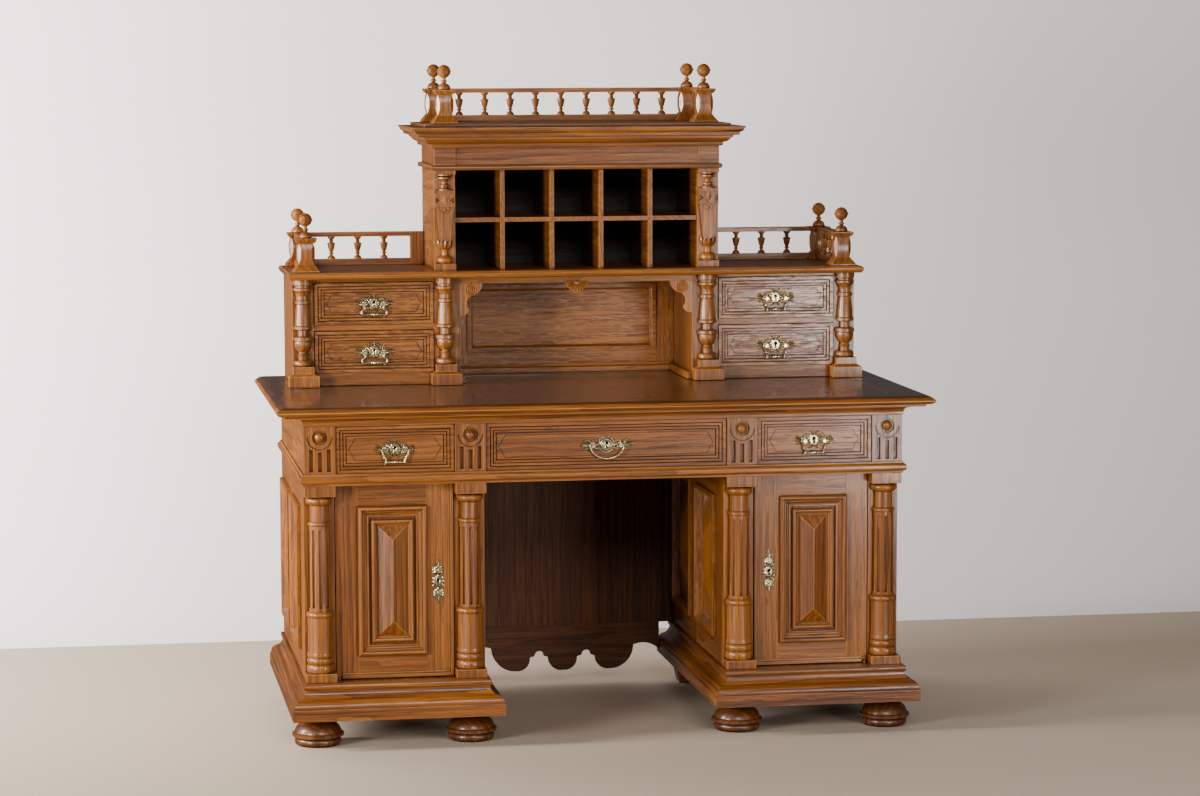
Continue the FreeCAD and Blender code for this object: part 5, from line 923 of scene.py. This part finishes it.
def dress_metal():
    """All brass and the steel pins."""
    for node in list(frame["nodes"]):
        if node.endswith("_bail"):
            dress_drawer_brass(node)
    dress_door_brass("left", -1)
    dress_door_brass("right", 1)
    pins = frame["nodes"]["door_hinge_pins"]
    pins.data.materials.clear()
    pins.data.materials.append(STEEL)


def carved(bm, name, upright=False):
    """Carving glued to the fixed case."""
    bmesh.ops.recalc_face_normals(bm, faces=bm.faces[:])
    bm.faces.layers.float.new("arris")
    give_grain(bm, name, upright)
    shade_cast(bm)
    return finished(bm, name, "desk", OAK)


def niche_carving():
    """Volutes on the scroll brackets and the ribs of the shell between them."""
    low, high = (Vector(p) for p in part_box("niche_apron"))
    strip_low = high.z - STRIP_HIGH
    bracket_face = high.y - BRACKET_DEEP
    bm = bmesh.new()
    for side in (1, -1):
        edge = high.x if side > 0 else low.x
        centre = Vector((edge - side * VOLUTE_FROM_SIDE, bracket_face, strip_low - VOLUTE_BELOW_STRIP))
        spiral(bm, centre, VOLUTE_RADIUS, math.pi / 2, -side * VOLUTE_TURN, VOLUTE_STEPS, VOLUTE_THICK,
               closing=0.82, thinning=0.35, sides=8)
        bead(bm, centre, 0.0034, (1, 0.9, 1))
    carved(bm, "bracket_volutes")
    bm = bmesh.new()
    hub = Vector((0, low.y, strip_low + 0.002))
    for i in range(PENDANT_RIBS):
        angle = math.radians(180 + 180 * (i + 0.5) / PENDANT_RIBS)
        reach = PENDANT_REACH - 0.0015 * abs(math.cos(angle))
        way = Vector((math.cos(angle), 0, math.sin(angle)))
        spine = [hub + way * reach * share for share in PENDANT_RIB_PLACES]
        blade(bm, spine, PENDANT_RIB_HALVES, PENDANT_RIB_RISE)
    bead(bm, hub + Vector((0, -0.0005, -0.004)), 0.0052, (1.2, 0.6, 0.9))
    carved(bm, "pendant_shell")


def herm_carving():
    """Leaves round the collars of the carved pilasters."""
    low, high = (Vector(p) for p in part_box("herm_pilasters"))
    axis_y = high.y - PILASTER_AXIS_FROM_BACK
    last = len(COLLAR_LEAF) - 1
    bm = bmesh.new()
    for side in (1, -1):
        x = (high.x - PILASTER_HALF) * side
        for i in range(COLLAR_LEAVES):
            angle = math.radians(-90 + (i - COLLAR_LEAVES // 2) * COLLAR_LEAF_STEP)
            way = Vector((math.cos(angle), math.sin(angle), 0))
            across = Vector((-way.y, way.x, 0))
            verts = bmesh.ops.create_grid(bm, x_segments=2, y_segments=last, size=0.5)["verts"]
            for v in verts:
                up, reach, half = COLLAR_LEAF[round((v.co.y + 0.5) * last)]
                spread = v.co.x * 2
                proud = COLLAR_LEAF_THICK * (abs(spread) < 0.5)
                v.co = Vector((x, axis_y, low.z + up)) + way * (reach + proud) + across * spread * half
            faces = unique(f for v in verts for f in v.link_faces)
            bmesh.ops.solidify(bm, geom=faces, thickness=-COLLAR_LEAF_THICK)
    carved(bm, "pilaster_leaves", True)


def stage_sheet(bm, name, finish):
    """A sheet of the studio that the polish doesn't mirror."""
    for face in bm.faces:
        face.smooth = True
    sheet = placed(bm, name, finish)
    sheet.visible_glossy = False


def studio():
    """Pale floor, paper that sweeps up behind, soft boxes and a pale surround."""
    bm = bmesh.new()
    bmesh.ops.create_grid(bm, x_segments=1, y_segments=1, size=STUDIO_WIDE)
    stage_sheet(bm, "studio_floor", plain_stage_finish("studio_floor", FLOOR_COLOUR))
    bm = bmesh.new()
    foot = PAPER_BACK - PAPER_BEND
    ends = [bm.verts.new((side * STUDIO_WIDE, foot, 0)) for side in (-1, 1)]
    line = bm.edges.new(ends)
    turn = bmesh.ops.spin(bm, geom=[line, *ends], cent=(0, foot, PAPER_BEND), axis=(1, 0, 0),
                          angle=math.radians(90), steps=16)
    last = [g for g in turn["geom_last"] if isinstance(g, bmesh.types.BMEdge)]
    wall = bmesh.ops.extrude_edge_only(bm, edges=last)["geom"]
    top = [g for g in wall if isinstance(g, bmesh.types.BMVert)]
    bmesh.ops.translate(bm, verts=top, vec=(0, 0, PAPER_HIGH))
    bm.normal_update()
    bmesh.ops.reverse_faces(bm, faces=[f for f in bm.faces if f.normal.z - f.normal.y < 0])
    stage_sheet(bm, "studio_paper", plain_stage_finish("studio_paper", WALL_COLOUR, True))
    for name, place, aim, size, power in LAMPS:
        lamp = bpy.data.lights.new(name, "AREA")
        lamp.shape = "RECTANGLE"
        lamp.size, lamp.size_y = size
        lamp.energy = power
        holder = bpy.data.objects.new(name, lamp)
        bpy.context.scene.collection.objects.link(holder)
        holder.location = place
        holder.rotation_euler = (Vector(aim) - Vector(place)).to_track_quat("-Z", "Y").to_euler()
    world = bpy.data.worlds.new("pale_surround")
    world.use_nodes = True
    background = world.node_tree.nodes["Background"]
    background.inputs["Color"].default_value = SURROUND_COLOUR
    background.inputs["Strength"].default_value = SURROUND_STRENGTH
    bpy.context.scene.world = world


def viewpoint():
    """The camera at the photograph's place and angle."""
    ahead = Vector((-math.sin(YAW) * math.cos(PITCH), math.cos(YAW) * math.cos(PITCH), math.sin(PITCH)))
    level = Vector((math.cos(YAW), math.sin(YAW), 0))
    up = level.cross(ahead)
    right = level * math.cos(ROLL) + up * math.sin(ROLL)
    top = up * math.cos(ROLL) - level * math.sin(ROLL)
    data = bpy.data.cameras.new("viewpoint")
    data.sensor_width = SENSOR
    data.lens = FOCAL_PIXELS / IMAGE_WIDE * SENSOR
    holder = bpy.data.objects.new("viewpoint", data)
    bpy.context.scene.collection.objects.link(holder)
    turn = Matrix((right, top, -ahead)).transposed().to_4x4()
    holder.matrix_world = Matrix.Translation(EYE) @ turn
    bpy.context.scene.camera = holder


dress_case()
dress_doors_and_drawers()
dress_metal()
niche_carving()
herm_carving()
studio()
viewpoint()
